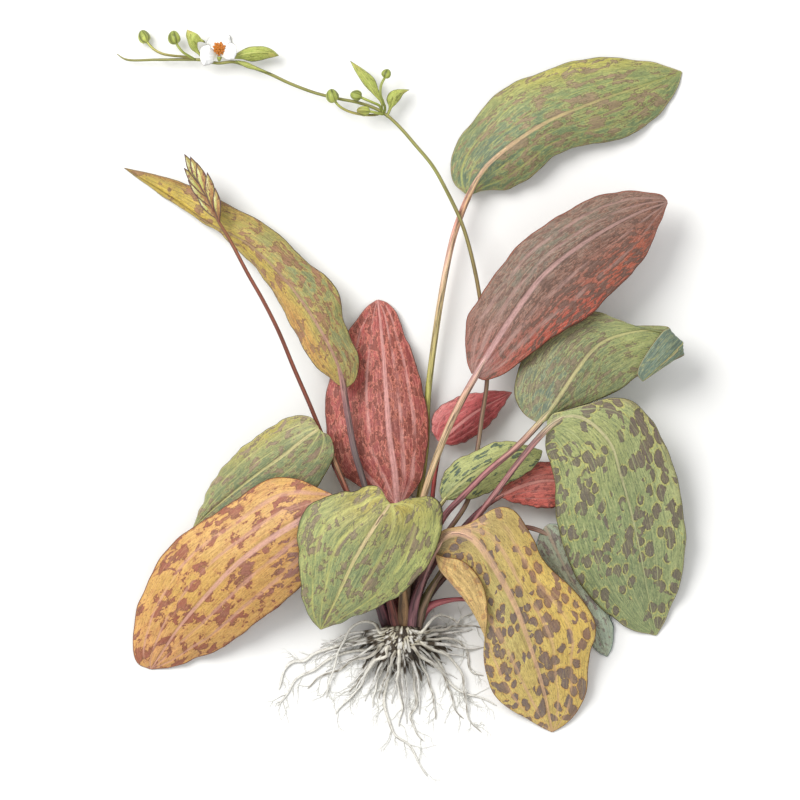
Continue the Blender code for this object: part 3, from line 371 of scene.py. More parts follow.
class Graph:
    """Adds shader nodes to a tree and joins them."""

    def __init__(self, tree: bpy.types.NodeTree) -> None:
        """Work on `tree`."""
        self.tree = tree

    def add(self, kind: str, inputs: dict[int | str, object], output: int | str = 0,
            **settings: object) -> Value:
        """Add a node of a kind, such as TexNoise.

        Args:
            kind: The node's kind, without the word Shader in front.
            inputs: Values, places as tuples, or numbers, by the input that each goes into.
            output: The output that is handed on.
            settings: The node's own settings.

        Returns:
            The chosen output.
        """
        node = self.tree.nodes.new("ShaderNode" + kind)
        for key, value in settings.items():
            setattr(node, key, value)
        for key, value in inputs.items():
            if isinstance(value, tuple) and any(isinstance(part, Value) for part in value):
                value = self.add("CombineXYZ", dict(enumerate(value)))
            if isinstance(value, Value):
                self.tree.links.new(value.socket, node.inputs[key])
            else:
                node.inputs[key].default_value = value
        return Value(self, node.outputs[output])

    def math(self, operation: str, *values: object) -> Value:
        """Apply one sum to its values."""
        return self.add("Math", dict(enumerate(values)), operation=operation)

    def top(self, first: object, second: object) -> Value:
        """Take the larger of two values."""
        return self.math("MAXIMUM", first, second)

    def bottom(self, first: object, second: object) -> Value:
        """Take the smaller of two values."""
        return self.math("MINIMUM", first, second)

    def size(self, value: Value) -> Value:
        """Drop a value's sign."""
        return self.math("ABSOLUTE", value)

    def step(self, value: object, low: object, high: object) -> Value:
        """Rise smoothly from 0 where the value is `low` to 1 where it is `high`."""
        inputs = {"Value": value, "From Min": low, "From Max": high}
        return self.add("MapRange", inputs, "Result", interpolation_type="SMOOTHSTEP")

    def parts(self, vector: Value) -> list[Value]:
        """Split a vector into its three values."""
        first = self.add("SeparateXYZ", {0: vector})
        return [Value(self, socket) for socket in first.socket.node.outputs]

    def tint(self, amount: object, under: object, over: object) -> Value:
        """Lay the second colour over the first by `amount`."""
        return self.add("Mix", {0: amount, 6: under, 7: over}, 2, data_type="RGBA")

    def scale(self, colour: object, factor: object) -> Value:
        """Brighten or darken a colour by a factor."""
        return self.add("VectorMath", {0: colour, "Scale": factor}, operation="SCALE")

    def noise(self, place: object, scale: float = 1.0, detail: float = 2.0, rough: float = 0.5,
              warp: float = 0.0) -> Value:
        """Cloudy noise between 0 and 1, mostly near a half."""
        inputs = {"Vector": place, "Scale": scale, "Detail": detail, "Roughness": rough, "Distortion": warp}
        return self.add("TexNoise", inputs)

    def cells(self, place: object) -> tuple[Value, list[Value]]:
        """Spots scattered one to a cell of a plane: the distance to the nearest, and its chances."""
        near = self.add("TexVoronoi", {"Vector": place, "Scale": 1.0}, "Distance", voronoi_dimensions="2D")
        return near, self.parts(Value(self, near.socket.node.outputs["Color"]))

    def circle(self, turn: Value) -> tuple[Value, Value]:
        """Lay the turn round a tube on a circle, so that no seam shows where it closes."""
        angle = turn * FULL_TURN
        return self.math("COSINE", angle), self.math("SINE", angle)

    def bump(self, height: Value, depth: float, strength: float) -> Value:
        """Turn a height between 0 and 1 into a normal, `depth` metres from low to high."""
        inputs = {"Strength": strength, "Distance": depth, "Height": height}
        return self.add("Bump", inputs, "Normal")


def label(key: str) -> str:
    """Write a key such as blotch_size the way a socket's label is written."""
    return key.replace("_", " ").title()


Painted = tuple[Value, Value, Value]


class SharedGroup:
    """A shader node group with named sockets, built once and placed in many materials."""

    name = "shared"
    reads: tuple[str, ...] = ("wash", "flow")
    tints: tuple[str, ...] = ()
    numbers: tuple[str, ...] = ()
    shine = 0.35

    def __init__(self) -> None:
        """Make the group's sockets and its nodes."""
        self.tree = bpy.data.node_groups.new(self.name, "ShaderNodeTree")
        sockets = self.tree.interface
        for keys, kind in ((self.reads, "Vector"), (self.tints, "Color"), (self.numbers, "Float")):
            for key in keys:
                sockets.new_socket(label(key), in_out="INPUT", socket_type="NodeSocket" + kind)
        self.g = Graph(self.tree)
        source = self.tree.nodes.new("NodeGroupInput")
        keys = self.reads + self.tints + self.numbers
        self.given = SimpleNamespace(**{key: Value(self.g, source.outputs[label(key)]) for key in keys})
        sink = self.tree.nodes.new("NodeGroupOutput")
        for key, kind, result in zip(("Colour", "Roughness", "Normal"), ("Color", "Float", "Vector"),
                                     self.build()):
            sockets.new_socket(key, in_out="OUTPUT", socket_type="NodeSocket" + kind)
            self.tree.links.new(result.socket, sink.inputs[key])

    def build(self) -> Painted:
        """Add the group's nodes, from what it is given by its keys."""
        raise NotImplementedError

    def material(self, name: str, look: dict[str, object]) -> bpy.types.Material:
        """Place the group in a new material.

        Args:
            name: The material's name.
            look: The group's own colours and numbers, by their keys.

        Returns:
            The material.
        """
        made = bpy.data.materials.new(name)
        made.use_nodes = True
        nodes, links = made.node_tree.nodes, made.node_tree.links
        shader = nodes["Principled BSDF"]
        shader.inputs["Specular IOR Level"].default_value = self.shine
        placed = nodes.new("ShaderNodeGroup")
        placed.node_tree = self.tree
        for key in self.tints:
            placed.inputs[label(key)].default_value = (*paint(look[key]), 1.0)
        for key in self.numbers:
            placed.inputs[label(key)].default_value = look[key]
        for key in self.reads:
            reader = nodes.new("ShaderNodeAttribute")
            reader.attribute_name = key
            links.new(reader.outputs["Vector"], placed.inputs[label(key)])
        for key, socket in (("Colour", "Base Color"), ("Roughness", "Roughness"), ("Normal", "Normal")):
            links.new(placed.outputs[key], shader.inputs[socket])
        return made


class BladePaint(SharedGroup):
    """The surface of a spotted leaf: blotches, strokes along the veins, the veins and the rim.

    Place is (along 0 to 1, across -1 to 1, half width in mm), Flow is (run in mm, distance from
    the midrib in mm, seed) and Marks is (more or less blotched, how far the blotches take their
    second colour, 1 on the under face).
    """

    name = "blade_paint"
    reads = ("wash", "vein_tint", "place", "flow", "marks")
    tints = ("blotch", "blotch_two", "halo", "light", "dark", "rim", "outline")
    numbers = ("blotch_size", "blotch_stretch", "blotch_amount", "roundness", "halo_amount", "strokes",
               "stroke_count", "speckle", "vein_width", "side_veins", "rim_width")
    shine = 0.32

    def build(self) -> Painted:
        """Add the nodes: colours from the wash up to the rim, then the relief.

        Returns:
            The colour, the roughness and the normal.
        """
        g, given = self.g, self.given
        along, across, half = g.parts(given.place)
        run, aside, seed = g.parts(given.flow)
        _, toned, under = g.parts(given.marks)
        out = g.size(across)
        fine = g.noise((run, aside, seed), scale=1.2, detail=4.0, rough=0.7)
        wander = fine - 0.5
        broad = g.noise((run * 0.08, aside * 0.08, seed)) - 0.5
        level = self._blotch_level(wander, broad)
        blotch = g.step(level, 0.0, 0.022)
        halo = g.step(level, -0.07, -0.01)
        brink = blotch * g.step(level, 0.07, 0.02)

        stroke = across * given.stroke_count
        hatching = g.noise((run * 0.07, stroke, seed + 5.0), detail=3.0, rough=0.7) - 0.5
        lines = g.noise((run * 0.1, stroke * 1.7, seed + 9.0), rough=0.6)
        flicks = g.noise((run * 0.42, aside * 1.25, seed + 31.0), detail=3.0, rough=0.75)
        light = g.top(g.step(lines, 0.56, 0.64) * 0.7, g.step(flicks, 0.56, 0.66) * 0.75)
        dark = g.top(g.step(lines, 0.45, 0.37) * 0.9, g.step(flicks, 0.46, 0.36) * 0.9)
        netting = g.noise(((run + out * half) * 0.45, stroke * 0.2, seed), detail=3.0, warp=0.3) - 0.5

        colour = g.scale(given.wash, 1.0 + broad * 0.5 + netting * 0.4)
        colour = g.tint(halo * given.halo_amount, colour, given.halo)
        second = g.bottom(g.top(toned + broad * 1.2, 0.0), 1.0)
        deep = g.tint(second, given.blotch, given.blotch_two)
        deep = g.scale(deep, 1.15 + netting * 0.5 - brink * 0.62)
        colour = g.tint(blotch * (0.88 + hatching * 0.5) * (1.0 - under * 0.6), colour, deep)
        near_dot, chances = g.cells((run * 0.45 + seed * 9.0, aside * 0.6, 0.0))
        dots = g.step(near_dot, 0.26, 0.14) * g.step(chances[1], 0.5, 0.7)
        colour = g.tint(dots * given.speckle, colour, g.scale(given.blotch, 0.7))
        softer = 1.0 - blotch * 0.45
        colour = g.tint(light * given.strokes * softer, colour, given.light)
        colour = g.tint(dark * given.strokes * softer, colour, given.dark)
        colour = g.scale(colour, 1.0 + hatching * (given.strokes + under))

        from_rib = g.size(aside) + wander * 0.7
        reach = given.vein_width * (1.15 - along * 0.85)
        veins = self._veins(from_rib, reach, wander) * (1.0 - dark * 0.4)
        beside = g.step(from_rib, reach * 1.9, reach) * (1.0 - veins)
        colour = g.scale(colour, 1.0 - beside * 0.22)
        colour = g.tint(veins * 0.9, colour, g.scale(given.vein_tint, 1.0 + hatching * 0.9))

        edge = (1.0 - out) * half
        rim = g.step(edge + wander * 1.1, given.rim_width, given.rim_width * 0.45)
        colour = g.tint(rim * 0.8, colour, given.rim)
        outline = g.step(edge + wander * 0.9, 0.55, 0.25)
        colour = g.tint(outline * 0.8, colour, given.outline)
        colour = g.scale(colour, 1.0 + wander * 0.5)

        relief = hatching * 0.6 + fine * 0.4 + netting * 0.4 - veins * 0.5
        roughness = 0.5 + hatching * 0.25 + blotch * 0.06
        return colour, roughness, g.bump(relief, 0.0004, 0.7)

    def _blotch_level(self, wander: Value, broad: Value) -> Value:
        """Mix ragged patches and round spots into one level.

        Args:
            wander: Fine noise round zero.
            broad: Slow noise round zero.

        Returns:
            A value above zero inside a blotch.
        """
        g, given = self.g, self.given
        run, aside, seed = g.parts(given.flow)
        blotched, _, under = g.parts(given.marks)
        patch_run = run / (given.blotch_size * given.blotch_stretch)
        patch_out = aside / given.blotch_size
        patches = g.noise((patch_run, patch_out, seed), detail=4.0, rough=0.62, warp=0.3) - 0.5
        more = (given.blotch_amount - 0.5) * 0.28
        ragged = patches + more + blotched * 0.3 + broad * 0.22 + wander * 0.1 - 0.02
        near, chances = g.cells((patch_run + wander * 0.3 + seed * 17.0, patch_out + patches * 0.7, 0.0))
        radius = 0.36 + chances[0] * 0.24
        crowd = more * 2.6 + blotched * 0.8 + broad * 2.4
        present = g.step(chances[1] - 0.55 + crowd, -0.03, 0.03) - 0.5
        spots = g.bottom(radius - near, present) * 0.6 + wander * 0.12
        return ragged * (1.0 - given.roundness) + spots * given.roundness - under * 0.1

    def _veins(self, from_rib: Value, reach: Value, wander: Value) -> Value:
        """Draw the midrib, and on each side two veins that follow the margin.

        Args:
            from_rib: The distance from the midrib in millimetres.
            reach: The midrib's half width there.
            wander: Fine noise round zero.

        Returns:
            How much of a vein shows.
        """
        g, given = self.g, self.given
        _, across, half = g.parts(given.place)
        run, _, seed = g.parts(given.flow)
        midrib = g.step(from_rib, reach * 1.15, reach * 0.5)
        side_reach = reach * given.side_veins
        side_veins = 0.0
        for share in (0.32, 0.63):
            apart = g.size(g.size(across) + wander * 0.04 - share) * half
            side_veins = g.top(side_veins, g.step(apart, side_reach, side_reach * 0.3))
        brushed = g.step(g.noise((run * 0.07, across * 7.0, seed + 21.0)), 0.3, 0.62)
        side_veins = side_veins * brushed * g.bottom(given.side_veins * 1.6, 1.0)
        return g.top(midrib * 0.95, side_veins * 0.85)


class StemPaint(SharedGroup):
    """The skin of a stem, stalk or bud: streaks along it, small dark flecks and a soft sheen.

    Flow is (run in mm, turn round it as a share, seed).
    """

    name = "stem_paint"
    tints = ("fleck",)
    numbers = ("fleck_amount", "fibre")
    shine = 0.4

    def build(self) -> Painted:
        """Add the nodes: streaks, flecks, then the relief.

        Returns:
            The colour, the roughness and the normal.
        """
        g, given = self.g, self.given
        run, turn, seed = g.parts(given.flow)
        x, y = g.circle(turn)
        fibres = g.noise((run * 0.04 + seed * 3.7, x * 1.7, y * 1.7), detail=3.0, rough=0.6)
        flecks = g.noise((run * 0.22 + seed * 5.1, x * 1.5, y * 1.5), detail=3.0, rough=0.7)
        grain = g.noise((run + seed, x * 2.0, y * 2.0), scale=1.6, detail=3.0)
        streaks = g.step(fibres, 0.53, 0.6) * 0.5 - g.step(fibres, 0.48, 0.4) * 0.72
        colour = g.scale(given.wash, 1.0 + streaks * given.fibre)
        colour = g.tint(g.step(flecks, 0.58, 0.66) * given.fleck_amount, colour, given.fleck)
        colour = g.scale(colour, 1.0 + (grain - 0.5) * 0.25)
        return colour, 0.36 + fibres * 0.22, g.bump(fibres * 0.7 + grain * 0.3, 0.0003, 0.6)


class RootPaint(SharedGroup):
    """The skin of a root or the crown: pale and fibrous, with rings and brown hollows."""

    name = "root_paint"
    tints = ("hollow",)
    numbers = ("hollow_amount",)

    def build(self) -> Painted:
        """Add the nodes: brown hollows, faint rings, then the relief.

        Returns:
            The colour, the roughness and the normal.
        """
        g, given = self.g, self.given
        run, turn, seed = g.parts(given.flow)
        x, y = g.circle(turn)
        hollows = g.noise((run * 0.35 + seed * 4.3, x, y), scale=1.3, detail=4.0, rough=0.65)
        hollows = g.step(hollows, 0.48, 0.68)
        rings = g.noise((run * 2.2 + seed, x * 0.5, y * 0.5))
        colour = g.tint(hollows * given.hollow_amount, given.wash, given.hollow)
        colour = g.scale(colour, 1.0 + (rings - 0.5) * 0.35)
        return colour, 0.5 + hollows * 0.25, g.bump(rings * 0.5 - hollows * 0.4, 0.0003, 0.7)


class PetalPaint(SharedGroup):
    """The surface of a petal: white with fine grey veins that fan out, and a thin grey line."""

    name = "petal_paint"
    reads = ("wash", "place", "flow")
    tints = ("line",)
    shine = 0.25

    def build(self) -> Painted:
        """Add the nodes: veins, crinkles and the line round the margin.

        Returns:
            The colour, the roughness and the normal.
        """
        g, given = self.g, self.given
        _, across, half = g.parts(given.place)
        run, aside, seed = g.parts(given.flow)
        veins = g.noise((run * 0.12, across * 9.0, seed))
        crinkle = g.noise((run, aside, seed), scale=0.7, detail=3.0)
        outline = g.step((1.0 - g.size(across)) * half + (crinkle - 0.5) * 0.5, 0.42, 0.18)
        colour = g.tint(g.step(veins, 0.5, 0.75) * 0.35, given.wash, given.line)
        colour = g.tint(outline * 0.75, colour, given.line)
        return colour, 0.5 + crinkle * 0.2, g.bump(veins * 0.6 + crinkle * 0.6, 0.0004, 0.6)


class Bench:
    """What every piece is made with: the paint groups, and where the guide points start from."""

    def __init__(self) -> None:
        """Build every group once, and find the crown."""
        self.origin = crown_origin()
        self.blade = BladePaint()
        self.stem = StemPaint()
        self.root = RootPaint()
        self.petal = PetalPaint()

    def skin(self, name: str, fleck: Colour, amount: float, fibre: float = 0.35) -> bpy.types.Material:
        """Make the skin of one stem, stalk or bud."""
        return self.stem.material(name, {"fleck": fleck, "fleck_amount": amount, "fibre": fibre})


@dataclass(frozen=True)
class Wash:
    """A soft patch of colour on a blade's upper face or on the crown, strongest at its middle."""

    colour: Colour
    along: float
    across: float
    reach: tuple[float, float]
    strength: float = 0.9


@dataclass(frozen=True)
class Patch:
    """A part of a blade with more of something, or less where `amount` is below zero."""

    along: float
    across: float
    reach: tuple[float, float]
    amount: float


def soft_spot(along: Array, across: Array, spot: Wash | Patch) -> Array:
    """Fade out of a spot as exp(-(distance / reach)^2) along and across the blade.

    Args:
        along: Places along the blade.
        across: Places across it.
        spot: Where its middle is and how far it reaches.

    Returns:
        The share of it at each place, 1 at its middle.
    """
    by_run = (along - spot.along) / spot.reach[0]
    by_side = (across - spot.across) / spot.reach[1]
    return np.exp(-(by_run**2) - by_side**2)


@dataclass(frozen=True)
class BladeColours:
    """How one blade is painted: the colours and numbers that the blade paint takes.

    Patches are more or less blotched, and in tones the blotches take their second colour.
    """

    base: Colour
    washes: tuple[Wash, ...] = ()
    patches: tuple[Patch, ...] = ()
    tones: tuple[Patch, ...] = ()
    under: Colour = (128, 146, 112)
    veins: tuple[Colour, Colour] = ((205, 165, 130), (190, 195, 105))
    rim: Colour = (205, 200, 120)
    rim_width: float = 0.9
    outline: Colour = (96, 84, 66)
    blotch: Colour = (140, 112, 92)
    blotch_two: Colour = (128, 108, 100)
    halo: Colour = (190, 188, 100)
    halo_amount: float = 0.4
    light: Colour = (190, 192, 104)
    dark: Colour = (88, 98, 70)
    blotch_size: float = 5.0
    blotch_stretch: float = 1.7
    blotch_amount: float = 0.4
    roundness: float = 0.0
    strokes: float = 0.5
    stroke_count: float = 26.0
    speckle: float = 0.5
    vein_width: float = 1.3
    side_veins: float = 0.6


@dataclass(frozen=True)
class BladeShape:
    """The lines of a blade, and how its surface swells, frills and thins between them.

    The midrib's last point is the tip, where the other lines end too.
    """

    midrib: Points
    left: Points
    right: Points
    arch: float = 2.0
    right_roll: Points | None = None
    thickness: float = 0.55
    frill: float = 0.5
    frills: float = 7.0
    quilt: float = 0.3

    def face(self, along: Array, across: Array) -> Array:
        """Find the middle of the blade's thickness.

        Each half is a parabola from the midrib to the margin, through a point halfway out that
        the arch raises: M(1-v)(1-2v) + 4v(1-v)H + v(2v-1)E. A roll line takes that point's place.

        Args:
            along: Places from the base, 0, to the tip, 1.
            across: Places from the left margin, -1, over the midrib to the right margin, 1.

        Returns:
            Points with the shape (along, across, 3).
        """
        tip = self.midrib[-1]
        rib = GuideCurve(self.midrib).at(along)[:, None]
        swell = np.clip(4 * np.minimum(along, 1 - along), 0, 1)[:, None]
        halves = []
        left, right = (self.left, None, across < 0), (self.right, self.right_roll, across >= 0)
        for margin, roll, chosen in (left, right):
            edge = GuideCurve([*margin, tip]).at(along)[:, None]
            if roll:
                middle = GuideCurve([*roll, tip]).at(along)[:, None]
            else:
                middle = (rib + edge) / 2
                middle[:, :, 2] += self.arch * swell
            v = np.abs(across[chosen])[None, :, None]
            halves.append(rib * (1 - v) * (1 - 2 * v) + 4 * middle * v * (1 - v) + edge * v * (2 * v - 1))
        return np.concatenate(halves, axis=1)


class Blade:
    """A leaf's blade, a bract or a petal as a thin closed shell with veins in relief.

    Its rows of points lie closer at the base and its columns closer at the midrib, by a power.
    """

    ROW_POWER = 1.12
    COLUMN_POWER = 1.1

    def __init__(self, shape: BladeShape, rings: int, columns: int, seed: float) -> None:
        """Lay a grid of `rings` by `columns` over the shape.

        Args:
            shape: The blade's lines.
            rings: Rows of points from base to tip.
            columns: Points from margin to margin, an odd number.
            seed: What tells this blade's markings from the others'.
        """
        self.shape = shape
        self.seed = seed
        self.along = 1 - (1 - np.linspace(0, 1, rings)[:-1]) ** self.ROW_POWER
        spread = np.linspace(-1, 1, columns)
        self.across = np.sign(spread) * np.abs(spread) ** self.COLUMN_POWER
        flat = shape.face(self.along, self.across)
        self.normals = unit(np.cross(np.gradient(flat, axis=1), np.gradient(flat, axis=0)))
        self.run = GuideCurve(shape.midrib).length * self.along
        steps = np.linalg.norm(np.diff(flat, axis=1), axis=-1)
        reach = np.concatenate([np.zeros((len(self.along), 1)), np.cumsum(steps, axis=1)], axis=1)
        self.aside = reach - reach[:, columns // 2][:, None]
        self.half = np.where(self.across < 0, -self.aside[:, :1], self.aside[:, -1:])
        self.face = flat + self.normals * self._relief()[..., None]

    def _relief(self) -> Array:
        """Work out how far the surface stands off its smooth form.

        The margin frills as a sum of two waves that grow with the cube of the distance out, and
        the blade quilts between its veins as a squared sine of the distance out.

        Returns:
            Millimetres at each point of the grid.
        """
        u, v = self.along[:, None], self.across[None, :]
        width = np.clip(self.half / 8.0, 0, 1)
        turns = FULL_TURN * self.shape.frills
        wave = np.sin(turns * u + self.seed + 2 * np.sign(v)) + 0.6 * np.sin(1.7 * turns * u + 3 * self.seed)
        frill = self.shape.frill * wave * np.abs(v) ** 3 * width
        quilting = self.shape.quilt * np.sin(np.pi * np.abs(v) / 0.3) ** 2 * np.clip(8 * u, 0, 1) * width
        ripple = 0.25 * self.shape.quilt * np.sin(self.run[:, None] * 1.1 + np.abs(self.aside) * 0.8) * width
        return (frill + quilting + ripple) * np.clip(12 * (1 - u), 0, 1)

    def rings(self) -> Array:
        """Run rings round the shell, which thins as the root of 1 - v^6 towards the margins.

        Returns:
            Points that go over the upper face and back below.
        """
        profile = np.sqrt(np.clip(1 - np.abs(self.across) ** 6, 0, 1))
        taper = np.clip(10 * (1 - self.along), 0.25, 1)
        half = (0.5 * self.shape.thickness * profile[None, :] * taper[:, None])[..., None]
        return self._round(self.face + half * self.normals, self.face - half * self.normals)

    @staticmethod
    def _round(over: Array, under: Array) -> Array:
        """Lead a ring's values over the upper face and back along the under face."""
        return np.concatenate([over, under[:, -2:0:-1]], axis=1)

    def values(self, colours: BladeColours) -> dict[str, Array]:
        """Work out what the blade's finish reads at each point of the rings.

        Args:
            colours: How the blade is painted.

        Returns:
            The attributes wash, vein_tint, place, flow and marks.
        """
        shape = self.aside.shape
        u = np.broadcast_to(self.along[:, None], shape)
        v = np.broadcast_to(self.across[None, :], shape)
        none = np.zeros(shape)
        wash = np.broadcast_to(paint(colours.base), shape + (3,))
        under = np.broadcast_to(paint(colours.under), shape + (3,))
        for patch in colours.washes:
            wash = mix(wash, paint(patch.colour), soft_spot(u, v, patch)[..., None] * patch.strength)
        outward = np.maximum(u, np.clip(3 * np.abs(v), 0, 0.9))
        veins = blend_stops(list(zip((0.0, 0.9), colours.veins)), outward)
        blotched = sum((soft_spot(u, v, patch) * patch.amount for patch in colours.patches), none)
        toned = sum((soft_spot(u, v, patch) * patch.amount for patch in colours.tones), none)
        place = np.stack([u, v, self.half + none], axis=-1)
        flow = np.stack([self.run[:, None] + none, self.aside, self.seed + none], axis=-1)
        above, below = (np.stack([blotched, toned, side + none], axis=-1) for side in (0.0, 1.0))
        return {
            "wash": self._round(wash, under),
            "vein_tint": self._round(veins, veins),
            "place": self._round(place, place),
            "flow": self._round(flow, flow),
            "marks": self._round(above, below),
        }


STEM_SIDES = 16
STEM_RINGS = 60
RIDGE_RINGS = 40
STEM_WIDENING = (1.6, 1.95, 1.0, 1.0, 0.72, 0.12)
STEM_THICKENING = (0.95, 0.92, 0.9, 0.8, 0.62, 0.11)
SHEATH_REACH = 6.0
STEM_FLECK = (70, 44, 44)


@dataclass(frozen=True)
class Leaf:
    """One leaf with its stem, which goes on below the blade as its midrib's ridge."""

    node: str
    slot: str
    shape: BladeShape
    colours: BladeColours
    stem: Points
    stem_width: tuple[float, float]
    stem_colours: Stops
    # The colour of the painted highlight along the stem's top, and how much of it shows.
    stem_highlight: Colour = (120, 80, 70)
    stem_highlight_amount: float = 0.35
    seed: float = 1.0
    rings: int = 120
    columns: int = 49

    def build(self, bench: Bench) -> None:
        """Grow the blade and the stem, and put them in the leaf's place.

        Args:
            bench: The shared paint groups and the crown's place.
        """
        growth = Growth()
        blade = Blade(self.shape, self.rings, self.columns, self.seed)
        growth.add(blade.rings(), blade.values(self.colours))
        path, widths, heights, tints = self._stem_run(blade)
        # The stem's colours, with a painted highlight along its top and painted shade on its sides.
        wash = highlight_and_shade(tints, self.stem_highlight, self.stem_highlight_amount, STEM_SIDES)
        growth.add_strand(path, widths, heights, STEM_SIDES, wash, self.seed, slot=1)
        skin = bench.blade.material(self.node + "_blade", vars(self.colours))
        stem_skin = bench.skin(self.node + "_stem", STEM_FLECK, 0.3, 0.85)
        growth.settle(self.node, "leaf", [skin, stem_skin], bench.origin)

    def _stem_run(self, blade: Blade) -> tuple[Array, Array, Array, Array]:
        """Lay the stem's path from inside the crown to near the tip, below the midrib.

        Args:
            blade: The blade that it carries.

        Returns:
            The path's points, its widths, its heights and its linear colours.
        """
        stem = np.array(self.stem, dtype=float)
        inside = stem[0] + unit(stem[0] - stem[1]) * SHEATH_REACH
        knots = np.vstack([inside, stem])
        middle = len(blade.across) // 2
        picks = np.linspace(0.07, 0.9, 9)
        rows = np.searchsorted(blade.along, picks)
        lowered = 0.5 * self.shape.thickness + 0.22 * self.stem_width[1] * (1 - picks)
        ridge = blade.face[rows, middle] - blade.normals[rows, middle] * lowered[:, None]
        curve = GuideCurve(np.vstack([knots[:-1], ridge]))
        join = GuideCurve(knots).length / curve.length
        below = np.linspace(0, join, STEM_RINGS, endpoint=False)
        places = np.concatenate([below, np.linspace(join, 1, RIDGE_RINGS)])
        sheath = SHEATH_REACH * 2 / curve.length
        spots = [0, sheath, min(3.2 * sheath, 0.8 * join), join, join + 0.08 * (1 - join), 1]
        base, top = self.stem_width
        size = np.interp(places, [0, join], [base, top])
        widths = np.interp(places, spots, STEM_WIDENING) * size
        heights = np.interp(places, spots, STEM_THICKENING) * size
        rib = blend_stops(list(zip((join, 1.0), self.colours.veins)), places)
        share = smooth_step(places, join * 0.92, join * 1.05)[:, None]
        tints = mix(blend_stops(self.stem_colours, places / join), rib, share)
        return curve.at(places), widths, heights, tints


